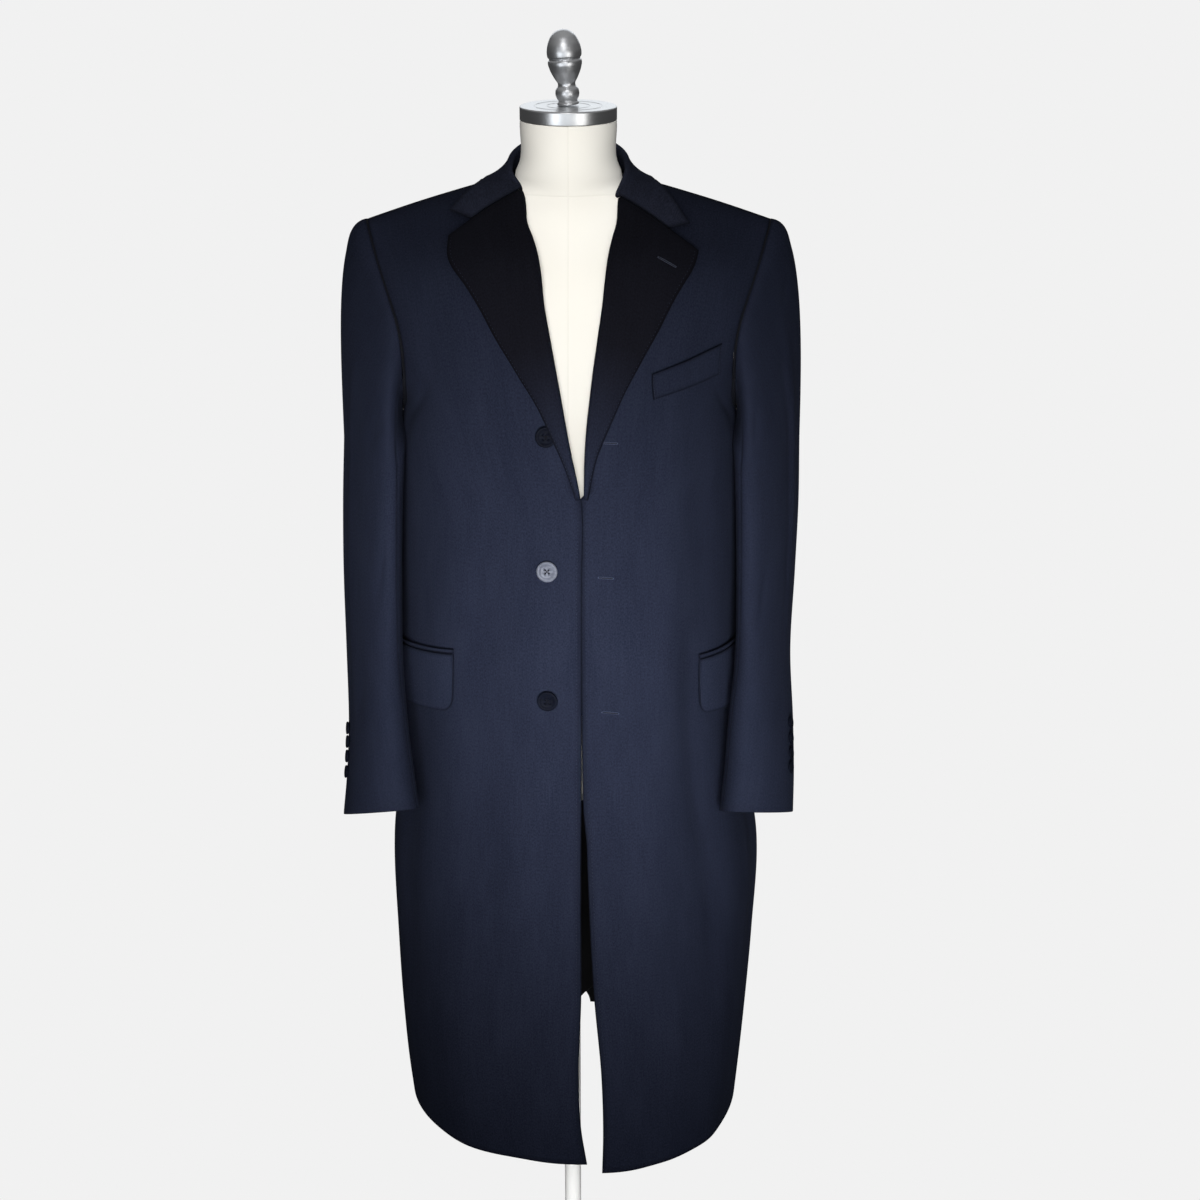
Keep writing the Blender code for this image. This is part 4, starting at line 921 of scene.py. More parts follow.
def sewn_line():
    """A straight seam: a narrow groove where a position crosses zero."""
    bench, given, made = group_tree("sewn_line", "ShaderNodeTree",
                                    {"Position": 0.0, "Width": 0.0012}, {"Groove": "Float"})
    away = bench.math("ABSOLUTE", given["Position"])
    bench.feed(made["Groove"], bench.ramp(away, 0.0, given["Width"], 1.0, 0.0))
    return bench.tree


NAP, WEAVE, SEWN = brushed_nap(), fine_weave(), sewn_line()


# -------------------------------------------------------------------- finishes
class Finish(Bench):
    """A material with its shader's plain values set, and the bench for its nodes."""

    def __init__(self, name, **values):
        self.material = bpy.data.materials.new(name)
        self.material.use_nodes = True
        super().__init__(self.material.node_tree)
        self.shader = self.tree.nodes["Principled BSDF"]
        for label, value in values.items():
            self.shader.inputs[label.replace("_", " ")].default_value = value

    def cut_place(self):
        return self.add("ShaderNodeUVMap", uv_map="cut").outputs[0]

    def place(self):
        return self.add("ShaderNodeTexCoord").outputs["Object"]

    def wear(self, colour, height, distance, strength, rough=None):
        """Links the colour, the bump and the roughness, and gives the material."""
        self.feed(self.shader.inputs["Base Color"], colour)
        if rough is not None:
            self.feed(self.shader.inputs["Roughness"], rough)
        bump = self.add("ShaderNodeBump", Strength=strength, Distance=distance, Height=height)
        self.feed(self.shader.inputs["Normal"], bump.outputs[0])
        return self.material


def dimmed(colour, share):
    return tuple(share * channel for channel in colour)


# How much and how dark the wool is painted towards its edges: painted shade where the cloth turns
# away from the light.
EDGE_SHADE_SHARE, EDGE_SHADE_TONE = 0.80, 0.25
# The lapel's wool is painted darker up the piece as painted shade; at its foot it keeps the
# front's tone.
FOOT_FADE = 0.010, 0.170     # how far up the lapel its foot's tone gives way


def brushed_melton(name, deep, light, clouds=0.35, foot=None):
    """Heavy milled overcoat wool. With foot, its two colours there give way to the
    others up the piece."""
    wool = Finish(name, Roughness=0.95, Specular_IOR_Level=0.05, Sheen_Weight=0.01,
                  Sheen_Roughness=0.5, Sheen_Tint=(0.45, 0.55, 0.90, 1.0))
    place = wool.cut_place()
    nap = wool.use(NAP, Place=place, Clouds=clouds)
    rim = wool.add("ShaderNodeAttribute", attribute_name="rim").outputs["Fac"]
    colour = wool.blend(nap["Shade"], deep, light)
    if foot:
        height = wool.add("ShaderNodeSeparateXYZ", place).outputs[1]
        colour = wool.blend(wool.ramp(height, *FOOT_FADE), wool.blend(nap["Shade"], *foot), colour)
    # painted shade along the cloth's edges, by the rim attribute
    colour = wool.blend(wool.math("MULTIPLY", rim, EDGE_SHADE_SHARE), colour,
                        dimmed(deep, EDGE_SHADE_TONE))
    return wool.wear(colour, nap["Height"], 0.0004, 0.45, wool.ramp(nap["Shade"], 0, 1, 1.0, 0.86))


def satin_lining():
    satin = Finish("satin_lining", Specular_IOR_Level=0.20)
    place = satin.cut_place()
    weave = satin.use(WEAVE, Place=place, Threads=1500.0, Slant=1.0)
    soft = satin.noise(place, (30.0, 12.0, 1.0))
    return satin.wear(satin.blend(soft, (0.0018, 0.0020, 0.0031), (0.0036, 0.0040, 0.0062)),
                      weave[0], 0.0001, 0.3, satin.ramp(soft, 0.3, 0.7, 0.32, 0.46))


JERSEY_SEAM_UP, JERSEY_SEAM_SHARE = 1.487, 0.14


def form_jersey():
    """Ivory cloth stretched on the form, with a seam down each middle and at the neck."""
    jersey = Finish("form_jersey", Roughness=0.85, Specular_IOR_Level=0.2, Sheen_Weight=0.1)
    place = jersey.place()
    x, _, z = jersey.add("ShaderNodeSeparateXYZ", place).outputs
    flat = jersey.add("ShaderNodeCombineXYZ", x, z).outputs[0]
    weave = jersey.use(WEAVE, Place=flat, Threads=900.0)[0]
    seam = jersey.math("MAXIMUM", *(jersey.use(SEWN, Position=position)[0] for position in (
        x, jersey.math("SUBTRACT", z, JERSEY_SEAM_UP))))
    colour = jersey.blend(jersey.noise(place, (9.0, 9.0, 6.0)), (0.86, 0.83, 0.76),
                          (0.90, 0.89, 0.85))
    colour = jersey.blend(jersey.math("MULTIPLY", seam, JERSEY_SEAM_SHARE), colour,
                          (0.55, 0.52, 0.46))
    height = jersey.math("SUBTRACT", jersey.math("MULTIPLY", weave, 0.25), seam)
    return jersey.wear(colour, height, 0.0004, 0.5)


def turned_metal(name, colour):
    """Metal turned on a lathe, with fine rings round its own axis."""
    metal = Finish(name, Metallic=1.0)
    place = metal.place()
    x, y, z = metal.add("ShaderNodeSeparateXYZ", place).outputs
    squared = metal.math("ADD", metal.math("POWER", x, 2.0), metal.math("POWER", y, 2.0))
    flat = metal.add("ShaderNodeCombineXYZ", metal.math("SQRT", squared), z).outputs[0]
    scratch = metal.noise(flat, (2200.0, 2200.0, 1.0), detail=4.0, rough=0.7)
    cloud = metal.noise(place, (24.0, 24.0, 24.0))
    return metal.wear(metal.blend(cloud, dimmed(colour, 0.90), colour), scratch, 0.00005, 0.25,
                      metal.ramp(scratch, 0.25, 0.75, 0.25, 0.39))


def mottled(name, low, high, scale, bump, gloss=None, gloss_scale=None, detail=2.0, rough=0.5,
            clear=(0.0, 1.0), **values):
    """A finish whose colour, bump and gloss follow a noise through the piece."""
    finish = Finish(name, **values)
    place = finish.place()
    noise = finish.noise(place, scale, detail, rough)
    fine = finish.noise(place, gloss_scale) if gloss_scale else noise
    return finish.wear(finish.blend(finish.ramp(noise, *clear), low, high), noise, *bump,
                       gloss and finish.ramp(fine, 0.3, 0.7, *gloss))


def horn(name, deep, light, gloss, shine):
    """Polished horn with drifting veins."""
    return mottled(name, deep, light, (160.0, 160.0, 420.0), bump=(0.0001, 0.15),
                   gloss=(gloss, gloss + 0.12), detail=4.0, rough=0.6, clear=(0.3, 0.7),
                   Specular_IOR_Level=shine)


def twisted_thread(name, colour):
    return mottled(name, dimmed(colour, 0.7), colour, (2600.0,) * 3, bump=(0.0001, 0.4),
                   Roughness=0.65, Specular_IOR_Level=0.15)


NAVY = (0.0088, 0.0112, 0.0225), (0.0165, 0.0205, 0.0385)
NAVY_WOOL = brushed_melton("navy_melton", *NAVY)
# painted shade: the lapel's copy of the wool is darker than the front's, except at its foot
LAPEL_WOOL_PAINTED_SHADE = brushed_melton("lapel_melton", (0.0043, 0.0045, 0.0073), (0.0078, 0.0082, 0.0132),
                            0.3, foot=NAVY)
# painted light: the flaps' copy of the wool is lighter than the front's
FLAP_WOOL_PAINTED_LIGHT = brushed_melton("flap_melton", (0.0115, 0.0148, 0.0292), (0.0215, 0.0268, 0.0500))
# painted light: the collar's copy of the wool is lighter and bluer than the front's
COLLAR_WOOL_PAINTED_LIGHT = brushed_melton("collar_melton", (0.0155, 0.0182, 0.0315), (0.0270, 0.0315, 0.0545),
                             0.3)
LINING = satin_lining()
JERSEY = form_jersey()
CAP_METAL = turned_metal("brushed_aluminium", (0.80, 0.81, 0.82))
STAND_ENAMEL = mottled("stand_enamel", (0.8448, 0.8448, 0.8352), (0.88, 0.88, 0.87), (40.0,) * 3,
                       bump=(0.0003, 0.1), gloss=(0.45, 0.55), Specular_IOR_Level=0.2)
KNOB_METAL = mottled("cast_metal", (0.72, 0.73, 0.75), (0.88, 0.89, 0.91), (70.0, 70.0, 110.0),
                     bump=(0.0006, 0.12), gloss=(0.32, 0.42), gloss_scale=(700.0,) * 3,
                     Metallic=1.0)
DARK_HORN = horn("dark_horn", (0.0020, 0.0027, 0.0062), (0.0046, 0.0062, 0.0130), 0.50, 0.04)
GREY_HORN = horn("grey_horn", (0.080, 0.089, 0.118), (0.140, 0.153, 0.195), 0.36, 0.16)
NAVY_THREAD = twisted_thread("navy_thread", (0.014, 0.019, 0.040))
# near-black thread for the buttons' crosses, and painted shade along the armholes
DARK_THREAD_AND_SEAM_SHADE = twisted_thread("armhole_thread", (0.004, 0.005, 0.009))
SEWING_THREAD = twisted_thread("pale_navy_thread", (0.028, 0.036, 0.066))
HOLE_THREAD = twisted_thread("blue_thread", (0.045, 0.062, 0.120))
LAPEL_THREAD = twisted_thread("blue_grey_thread", (0.060, 0.072, 0.110))
SLIT_SHADE = twisted_thread("slit_shade", (0.004, 0.004, 0.006))


# ------------------------------------------------------------------ the garment
# A row of mesh lines is the cloth's length, the pitch and the radius of its edges.
FRONT_COLUMNS, FRONT_ROWS = (0.30, 0.0052, 0.0016), (SHOULDER_UP, 0.0062, 0.0016)
BACK_COLUMNS, BACK_ROWS = (0.30, 0.0056, 0.0016), (SHOULDER_UP, 0.0066, 0.0016)
SLEEVE_COLUMNS, HEAD_ROWS = (0.25, 0.0050, 0.0014), (0.20, 0.0042, 0.0014)
CUFF_ROWS = 0.0035, 0.0023, 0.0012, 0.0003, 0.0
LAPEL_ROWS = 0.30, 0.0042, 0.0014
ROLL_COLUMNS, LAPEL_LAST_COLUMNS = (-1.0, -0.997, -0.99, -0.975), (0.98, 0.989, 0.995, 0.9985, 1.0)
STAND_COLUMNS, FALL_COLUMNS = (0.03, 0.004, 0.0012), (0.05, 0.003, 0.0012)
COLLAR_ROWS = 0.55, 0.0045, 0.0012
FLAP_ROWS = 0.07, 0.003, 0.0012
POCKET_COLUMNS = 0.14, 0.003, 0.0012
JET_ROWS, WELT_ROWS = (JET_HEIGHT, 0.0008, 0.0011), (0.034, 0.003, 0.0012)
LIGHT_SHELL = {"wall": 0.0024, "edge": 0.0013}     # the lapels and the collar
TRIM_SHELL = {"wall": TRIM_WALL, "edge": 0.0012}


def between(share, low, high):
    return low + share * (high - low)


def front_laid(side, across, up):
    """The front as it lies: cut back under the lapel's roll, and on the left drawn
    in behind the right front's edge where the two meet."""
    foot, gorge = LAPEL_EDGE[side][0].up, GORGE_UP[side]
    across, up = arrays(across, up)
    cut_back = (edge_share(side, up, roll_out(up) + 4 * SEAM_GAP)
                * smooth_step(foot + LAPEL_MEETS[0], foot + LAPEL_MEETS[1], up)
                * (1 - smooth_step(gorge, gorge + GORGE_MEETS, up)))
    if side == RIGHT:
        return front_cloth(side, across + (1 - across) * cut_back, up)
    meets = smooth_step(*MEET_FROM, up) * (
        1 - smooth_step(foot + FOOT_MEETS[0], foot + FOOT_MEETS[1], up))
    cut_back -= edge_share(side, up, MEET_LAP) * meets
    points = front_cloth(side, across + (1 - across) * cut_back, up)
    points[:, 1] += MEET_DEPTH * meets * (1 - smooth_step(0.0, MEET_BREADTH, across))
    return points


def build_front(side):
    hand, foot = HAND[side], LAPEL_EDGE[side][0].up
    rows = even_lines(*FRONT_ROWS) * SHOULDER_UP
    rows = np.unique(np.concatenate((rows, np.linspace(foot - 0.012, foot, 9))).round(6))
    cut_piece(f"{hand}_front", f"front_{hand}", partial(front_laid, side),
              even_lines(*FRONT_COLUMNS), rows, side, "form_torso", "draped", NAVY_WOOL, LINING,
              facing_width=FRONT_FACING)


def back_laid(side, column, up):
    """The back as it lies, its vent's corner cut away. The right one's goes on under
    the left, a step further in."""
    corner = 1 - smooth_step(0.0, VENT_CORNER_UP, up)
    if side == LEFT:
        return back_cloth(side, column - VENT_CORNER * corner * (column - 1), up)
    lap = (VENT_LAP * (1 - smooth_step(*VENT_RUNS_OUT, up))
           - UNDER_CORNER * VENT_CORNER * corner)
    points = back_cloth(side, column + lap * (column - 1), up)
    points[:, 1] -= ((CLOTH_WALL + 2 * LAY_GAP) * (1 - smooth_step(*VENT_STEPS_OUT, up))
                     * (1 - smooth_step(*VENT_STEP_ACROSS, column)))
    return points


def build_back(side):
    hand = HAND[side]
    cut_piece(f"{hand}_back", f"back_{hand}", partial(back_laid, side),
              even_lines(*BACK_COLUMNS), even_lines(*BACK_ROWS) * SHOULDER_UP, -side,
              "form_torso", "draped", NAVY_WOOL, LINING, facing_width=0.0)


def sleeve_part(kind, side, share, down):
    hindarm, forearm = seam_angles(down)
    ends = (forearm - 360.0, hindarm) if kind == "top" else (hindarm, forearm)
    return sleeve_cloth(side, between(share, *ends), down)


def build_sleeve(side):
    hand, head = HAND[side], even_lines(*HEAD_ROWS)
    rows = np.concatenate((head[head < 0.99], np.linspace(1.0, 1.97, 78), 2 - np.array(CUFF_ROWS)))
    for kind in ("top", "under"):
        cut_piece(f"{hand}_{kind}_sleeve", f"{kind}_sleeve_{hand}",
                  partial(sleeve_part, kind, side), even_lines(*SLEEVE_COLUMNS), rows, -side,
                  f"{hand}_front", "hung", NAVY_WOOL, LINING, facing_width=0.0, rim=0.0012)


def build_lapel(side):
    hand = HAND[side]
    columns = np.concatenate((ROLL_COLUMNS, np.linspace(-0.95, -0.05, 12),
                              np.linspace(0.0, 0.97, 36), LAPEL_LAST_COLUMNS))
    cut_piece(f"{hand}_lapel", f"lapel_{hand}", partial(lapel_point, side), columns,
              even_lines(*LAPEL_ROWS), side, f"{hand}_front", "folded", LAPEL_WOOL_PAINTED_SHADE, **LIGHT_SHELL)


def build_collar():
    """The collar's lines close up at its two edges, but not where it folds."""
    columns = np.concatenate((even_lines(*STAND_COLUMNS)[:-4], np.linspace(1.0, 2.0, 13),
                              2.0 + even_lines(*FALL_COLUMNS)[4:]))
    cut_piece("turned_collar", "collar", collar_point, np.unique(columns),
              even_lines(*COLLAR_ROWS) * 2.0 - 1.0, -1, ["right_back", "left_back"], "folded",
              COLLAR_WOOL_PAINTED_LIGHT, **LIGHT_SHELL)


def flap_point(side, share, row, lift):
    flap = FLAP[side]
    corner = np.clip(1 - np.minimum(share, 1 - share) / FLAP_CORNER, 0.0, 1.0)
    low = (between(share, flap.low_inner, flap.low_outer)
           + FLAP_CORNER_RISE * (1 - np.sqrt(1 - corner ** 2)))
    top = between(share, flap.top_inner, flap.top_outer)
    return on_front(side, between(share, flap.inner, flap.outer), between(row, low, top), lift)


def build_flap(side):
    hand, lift = HAND[side], TRIM_LIFT + FLAP_GAP

    def patch(share, row):
        curl = (FLAP_CURL * (1 - row) ** 2
                + FLAP_END_CURL * (1 - row) * np.abs(2 * share - 1) ** 3)
        return flap_point(side, share, row, lift + curl)

    def jet(share, row):
        flap = FLAP[side]
        up = between(share, flap.top_inner, flap.top_outer) + 2 * SEAM_GAP + row * JET_HEIGHT
        return on_front(side, between(share, flap.inner, flap.outer), up, lift)
    round_in = FLAP_CORNER * (1 - np.cos(np.linspace(0.0, math.pi / 2, 12)))
    columns = np.unique(np.concatenate((round_in, np.linspace(FLAP_CORNER, 1 - FLAP_CORNER, 40),
                                        1 - round_in)).round(6))
    cut_piece(f"{hand}_pocket_flap", f"pocket_flap_{hand}", patch, columns,
              even_lines(*FLAP_ROWS), side, f"{hand}_front", "hung", FLAP_WOOL_PAINTED_LIGHT, **TRIM_SHELL)
    cut_piece(f"{hand}_pocket_jet", f"pocket_jet_{hand}", jet, even_lines(*POCKET_COLUMNS),
              even_lines(*JET_ROWS), side, f"{hand}_front", "laid", NAVY_WOOL, rim=0.0016,
              **TRIM_SHELL)


def welt_point(share, row, lift):
    welt = BREAST_WELT
    up = (between(share, welt.low_inner, welt.low_outer)
          + row * between(share, welt.height_inner, welt.height_outer))
    return on_front(LEFT, between(share, welt.inner, welt.outer), up, lift)


def build_welt():
    def patch(share, row):
        return welt_point(share, row, TRIM_LIFT + LAY_GAP + WELT_CURL * row ** 2)
    cut_piece("welt_pocket", "breast_welt", patch, even_lines(*POCKET_COLUMNS),
              even_lines(*WELT_ROWS), LEFT, "left_front", "laid", NAVY_WOOL, **TRIM_SHELL)


# -------------------------------------------------------------- buttons, sewing
def mesh_of(net, name, smooth_angle=None):
    """The mesh of a closed net, smooth up to an angle."""
    bmesh.ops.recalc_face_normals(net, faces=net.faces)
    mesh = bpy.data.meshes.new(name)
    net.to_mesh(mesh)
    net.free()
    if smooth_angle:
        mesh.shade_smooth()
        mesh.set_sharp_from_angle(angle=math.radians(smooth_angle))
    return mesh


def bridge(net, upper, lower):
    """Faces between two rings of corners, either of which may be one point."""
    steps = max(len(upper), len(lower))
    for n in range(steps):
        corners = [ring[place % len(ring)] for ring, place in (
            (upper, n), (upper, (n + 1) % steps), (lower, (n + 1) % steps), (lower, n))]
        net.faces.new(list(dict.fromkeys(corners)))


def lathe(name, profile, steps, smooth_angle=35.0):
    """A closed turned mesh: profile is (radius, height) from the top to the foot."""
    net = bmesh.new()
    rings = []
    for radius, height in profile:
        turns = 2 * math.pi * np.arange(steps if radius > 1e-7 else 1) / steps
        rings.append([net.verts.new((radius * math.cos(turn), radius * math.sin(turn), height))
                      for turn in turns])
    for upper, lower in zip(rings, rings[1:]):
        bridge(net, upper, lower)
    return mesh_of(net, name, smooth_angle)


CORNER_SHARE = 0.45          # the most of a side that a rounded corner takes up


def rounded(profile, radius, steps=4):
    """The profile with its inner corners turned to small arcs."""
    result = [profile[0]]
    for p, q, r in zip(*(map(Vector, profile[n:]) for n in range(3))):
        cut = min(radius, (p - q).length * CORNER_SHARE, (r - q).length * CORNER_SHARE)
        start, end = q + (p - q).normalized() * cut, q + (r - q).normalized() * cut
        for t in np.linspace(0.0, 1.0, steps + 1):
            result.append(tuple(start * (1 - t) ** 2 + q * 2 * t * (1 - t) + end * t ** 2))
    return result + [profile[-1]]


# Of a button's radius and thickness, from the middle of its face to that of its back.
BUTTON_PROFILE = ((0.0, 0.60), (0.60, 0.66), (0.74, 0.98), (0.90, 1.0), (1.0, 0.7),
                  (0.94, 0.25), (0.7, 0.0), (0.0, 0.0))
BUTTON_ROUNDING, HOLE_OUT, HOLE_RADIUS, CROSS_OUT, DISH = 0.07, 0.23, 0.095, 0.25, 0.66
BUTTON_TURN = 0.4            # radians from each cuff button to the next


def button_blank(radius, thickness):
    """A dished button with a raised rim and four holes through it."""
    profile = rounded([(radius * out, thickness * up) for out, up in BUTTON_PROFILE],
                      radius * BUTTON_ROUNDING)
    blank = add_piece("blank", lathe("blank", profile, 48, 60.0))
    drill = bmesh.new()
    for turn in np.radians((45.0, 135.0, 225.0, 315.0)):
        centre = Matrix.Translation((HOLE_OUT * radius * math.cos(turn),
                                     HOLE_OUT * radius * math.sin(turn), 0.0))
        bmesh.ops.create_cone(drill, cap_ends=True, segments=14, radius1=HOLE_RADIUS * radius,
                              radius2=HOLE_RADIUS * radius, depth=4 * thickness, matrix=centre)
    cutter = add_piece("drill", mesh_of(drill, "drill"))
    holes = blank.modifiers.new("holes", "BOOLEAN")
    holes.object, holes.operation, holes.solver = cutter, "DIFFERENCE", "EXACT"
    ready = made_real(blank)
    bpy.data.objects.remove(cutter)
    ready.materials.clear()
    return ready


def made_real(piece):
    """The piece's mesh with its modifiers applied. The piece itself goes."""
    ready = bpy.data.meshes.new_from_object(
        piece.evaluated_get(bpy.context.evaluated_depsgraph_get()))
    bpy.data.objects.remove(piece)
    return ready


def sewn_button(name, node, blank, finish, point, normal, turn, radius, thickness):
    """Stands a button a hair off the cloth, facing out. The crossed thread through its
    holes comes back as two paths for stitches."""
    seat = (Matrix.Translation(Vector(point + normal * (CLOTH_WALL / 2 + LAY_GAP)))
            @ Vector(normal).to_track_quat("Z", "Y").to_matrix().to_4x4()
            @ Matrix.Rotation(turn, 4, "Z"))
    dress(add_piece(name, blank.copy(), seat), node, "button_horn", finish)
    return [(np.array([seat @ Vector((r * math.cos(way), r * math.sin(way), thickness * DISH))
                       for r in np.linspace(-CROSS_OUT, CROSS_OUT, 12) * radius]),
             np.tile(normal, (12, 1))) for way in np.radians((45.0, 135.0))]


def build_buttons():
    """The buttons. Gives the paths of their threads."""
    sizes, crosses = (BUTTON_RADIUS, BUTTON_THICKNESS), []
    blank = button_blank(*sizes)
    for name, across, up in FRONT_BUTTONS:
        point = front_cloth(RIGHT, across, up)[0]
        normal = unit(on_front(RIGHT, across, up, 1.0)[0] - point)
        crosses += sewn_button(f"{name}_front_button", f"front_button_{name}", blank,
                               GREY_HORN if name == "middle" else DARK_HORN, point, normal,
                               0.0, *sizes)
    sizes = CUFF_BUTTON_RADIUS, CUFF_BUTTON_THICKNESS
    blank = button_blank(*sizes)
    for side in (RIGHT, LEFT):
        angle = np.array([CUFF_BUTTON_ANGLE[side]])
        for number, down in enumerate(CUFF_BUTTON_DOWNS[side], start=1):
            crosses += sewn_button(
                f"{HAND[side]}_cuff_button_{number}", f"cuff_button_{HAND[side]}_{number}",
                blank, DARK_HORN, sleeve_cloth(side, angle, down)[0],
                sleeve_out(side, angle, np.array([down]))[0], BUTTON_TURN * number, *sizes)
    return crosses


def stitch_row():
    """Stitches along paths. The mesh given is the paths, with the way out of the
    cloth in its attribute out_of_cloth."""
    bench, given, made = group_tree(
        "stitch_row", "GeometryNodeTree",
        {"Paths": "Geometry", "Spacing": 0.0035, "Stitch Length": 0.0016,
         "Thread Width": 0.0006, "Across The Path": "Bool", "Thread": "Material"},
        {"Stitches": "Geometry"})
    path = bench.add("GeometryNodeMeshToCurve", given["Paths"]).outputs[0]
    spaced = bench.add("GeometryNodeResampleCurve", mode="LENGTH", Curve=path,
                       Length=given["Spacing"]).outputs[0]
    out = bench.add("GeometryNodeInputNamedAttribute", data_type="FLOAT_VECTOR",
                    Name="out_of_cloth").outputs[0]
    along = bench.add("GeometryNodeInputTangent").outputs[0]
    sideways = bench.add("ShaderNodeVectorMath", out, along, operation="CROSS_PRODUCT")
    chosen = bench.add("GeometryNodeSwitch", input_type="VECTOR",
                       **{"Switch": given["Across The Path"], "False": along,
                          "True": sideways.outputs[0]}).outputs[0]
    turn = bench.add("FunctionNodeAxesToRotation", out, chosen, primary_axis="Z",
                     secondary_axis="X").outputs[0]
    bead = bench.add("GeometryNodeMeshUVSphere", Segments=6, Rings=4, Radius=0.5).outputs["Mesh"]
    size = bench.add("ShaderNodeCombineXYZ", given["Stitch Length"], given["Thread Width"],
                     given["Thread Width"]).outputs[0]
    placed = bench.add("GeometryNodeInstanceOnPoints", Points=spaced, Instance=bead,
                       Rotation=turn, Scale=size).outputs[0]
    real = bench.add("GeometryNodeRealizeInstances", placed).outputs[0]
    finish = bench.add("GeometryNodeSetMaterial", Geometry=real, Material=given["Thread"])
    bench.feed(made[0], finish.outputs[0])
    return bench.tree


STITCHES = stitch_row()


def sew(name, paths, thread, spacing, length, width, across=False):
    """Stitches along paths, each a pair of points and directions out of the cloth."""
    mesh = bpy.data.meshes.new(name + "_paths")
    points, outs, edges = [], [], []
    for path, out in paths:
        edges += [(len(points) + n, len(points) + n + 1) for n in range(len(path) - 1)]
        points += path.tolist()
        outs += out.tolist()
    mesh.from_pydata(points, edges, [])
    mesh.attributes.new("out_of_cloth", "FLOAT_VECTOR", "POINT").data.foreach_set(
        "vector", np.array(outs).ravel())
    guide = add_piece(name + "_guide", mesh)
    modifier = guide.modifiers.new("stitches", "NODES")
    modifier.node_group = STITCHES
    given = {"Spacing": spacing, "Stitch Length": length, "Thread Width": width,
             "Across The Path": across, "Thread": thread}
    for socket in STITCHES.interface.items_tree:
        if socket.in_out == "INPUT" and socket.name in given:
            modifier[socket.identifier] = given[socket.name]
    ready = made_real(guide)
    ready.name = name
    ready.shade_smooth()
    dress(add_piece(name, ready), None, "navy_wool")


PATH_LIMITS = (-1.0, 3.0), (-1.0, 2.0)
LAPEL_STITCH_IN, LAPEL_STITCH_FOOT, LAPEL_STITCH_FULL = 0.055, 0.25, 0.45
FRONT_STITCH_IN = 0.0055
RIM_IN, RIM_TURN, RIM_LOW = 0.045, 0.22, 0.14
COLLAR_STITCH_LINE = 2.84, 2.88, 2.92
LAPEL_PROUD, FRONT_PROUD, TRIM_PROUD = 0.00115, 0.00125, 0.0011   # from the wall's middle
PICK_STITCH = 0.0042, 0.0017, 0.00055     # spacing, length and width
# spacing, length and width; the armhole and underarm rows overlap into cords of painted shade
ARMHOLE_SHADE_CORD, UNDERARM_SHADE_CORD = (0.0014, 0.0034, 0.0028), (0.0014, 0.0034, 0.0050)
CROSS_STITCH = 0.0004, 0.0010, 0.0009
TACK_STITCH = 0.0016, 0.0012, 0.0005
PURL_STITCH = 0.00055, 0.0011, 0.0006


def surface_path(surface, side, a, b, lift):
    """Points of a path on surface(side, a, b), a little out of it, and the ways out."""
    a, b = arrays(a, b)
    normal = side * facing(partial(surface, side), a, b, PATH_LIMITS)
    return surface(side, a, b) + normal * lift, normal


def flap_rim():
    """The line of stitches down one end of a flap, along its foot and up the other."""
    turn = np.linspace(0.0, math.pi / 2, 8)
    down = np.concatenate((
        np.stack((np.full(12, RIM_IN), np.linspace(0.95, RIM_TURN, 12)), 1),
        np.stack((RIM_IN + 0.10 * (1 - np.cos(turn)), RIM_TURN - RIM_LOW * np.sin(turn)), 1)))
    foot = np.stack((np.linspace(0.16, 0.84, 40), np.full(40, RIM_TURN - RIM_LOW)), 1)
    return np.concatenate((down, foot, down[::-1] * (-1, 1) + (1, 0))).T


def build_sewing(crosses):
    def flap(side, share, row):
        return flap_point(side, share, row, TRIM_LIFT + FLAP_GAP + FLAP_CURL * (1 - row) ** 2)
    paths = []
    for side in (RIGHT, LEFT):
        w = np.linspace(0.06, 0.985, 120)
        u = 1 - LAPEL_STITCH_IN - LAPEL_STITCH_FOOT * (1 - smooth_step(0.0, LAPEL_STITCH_FULL, w))
        up = np.linspace(0.006, LAPEL_EDGE[side][0].up - 0.02, 200)
        paths += [surface_path(lapel_point, side, u, w, LAPEL_PROUD),
                  surface_path(front_laid, side, edge_share(side, up, FRONT_STITCH_IN), up,
                               FRONT_PROUD),
                  surface_path(flap, side, *flap_rim(), TRIM_PROUD)]
    around = np.linspace(-0.985, 0.985, 240)
    fall = grid_of(collar_point, COLLAR_STITCH_LINE, around)
    normal = grid_normals(fall, np.array(COLLAR_STITCH_LINE), around, -1)
    paths.append((fall[:, 1] + normal[:, 1] * TRIM_PROUD, normal[:, 1]))
    sew("pick_stitches", paths, NAVY_THREAD, *PICK_STITCH)
    sew("button_crosses", crosses, DARK_THREAD_AND_SEAM_SHADE, *CROSS_STITCH)
    build_buttonholes()
    build_tacks()
    # The armhole seams as wide near-black cords: a real seam, with painted shade for the dark
    # crease between sleeve and body, widest under the arm.
    for name, low, high, stitch in (("armhole_seam_shade", 0.0, 360.0, ARMHOLE_SHADE_CORD),
                                    ("underarm_seam_shade", 140.0, 232.0, UNDERARM_SHADE_CORD)):
        rims = [armhole_rim(side, np.linspace(low, high, 240)) for side in (RIGHT, LEFT)]
        sew(name, rims, DARK_THREAD_AND_SEAM_SHADE, *stitch)


RIM_STEP, RIM_STEP_ASIDE, RIM_DROP = 0.3, 0.17, 0.0035


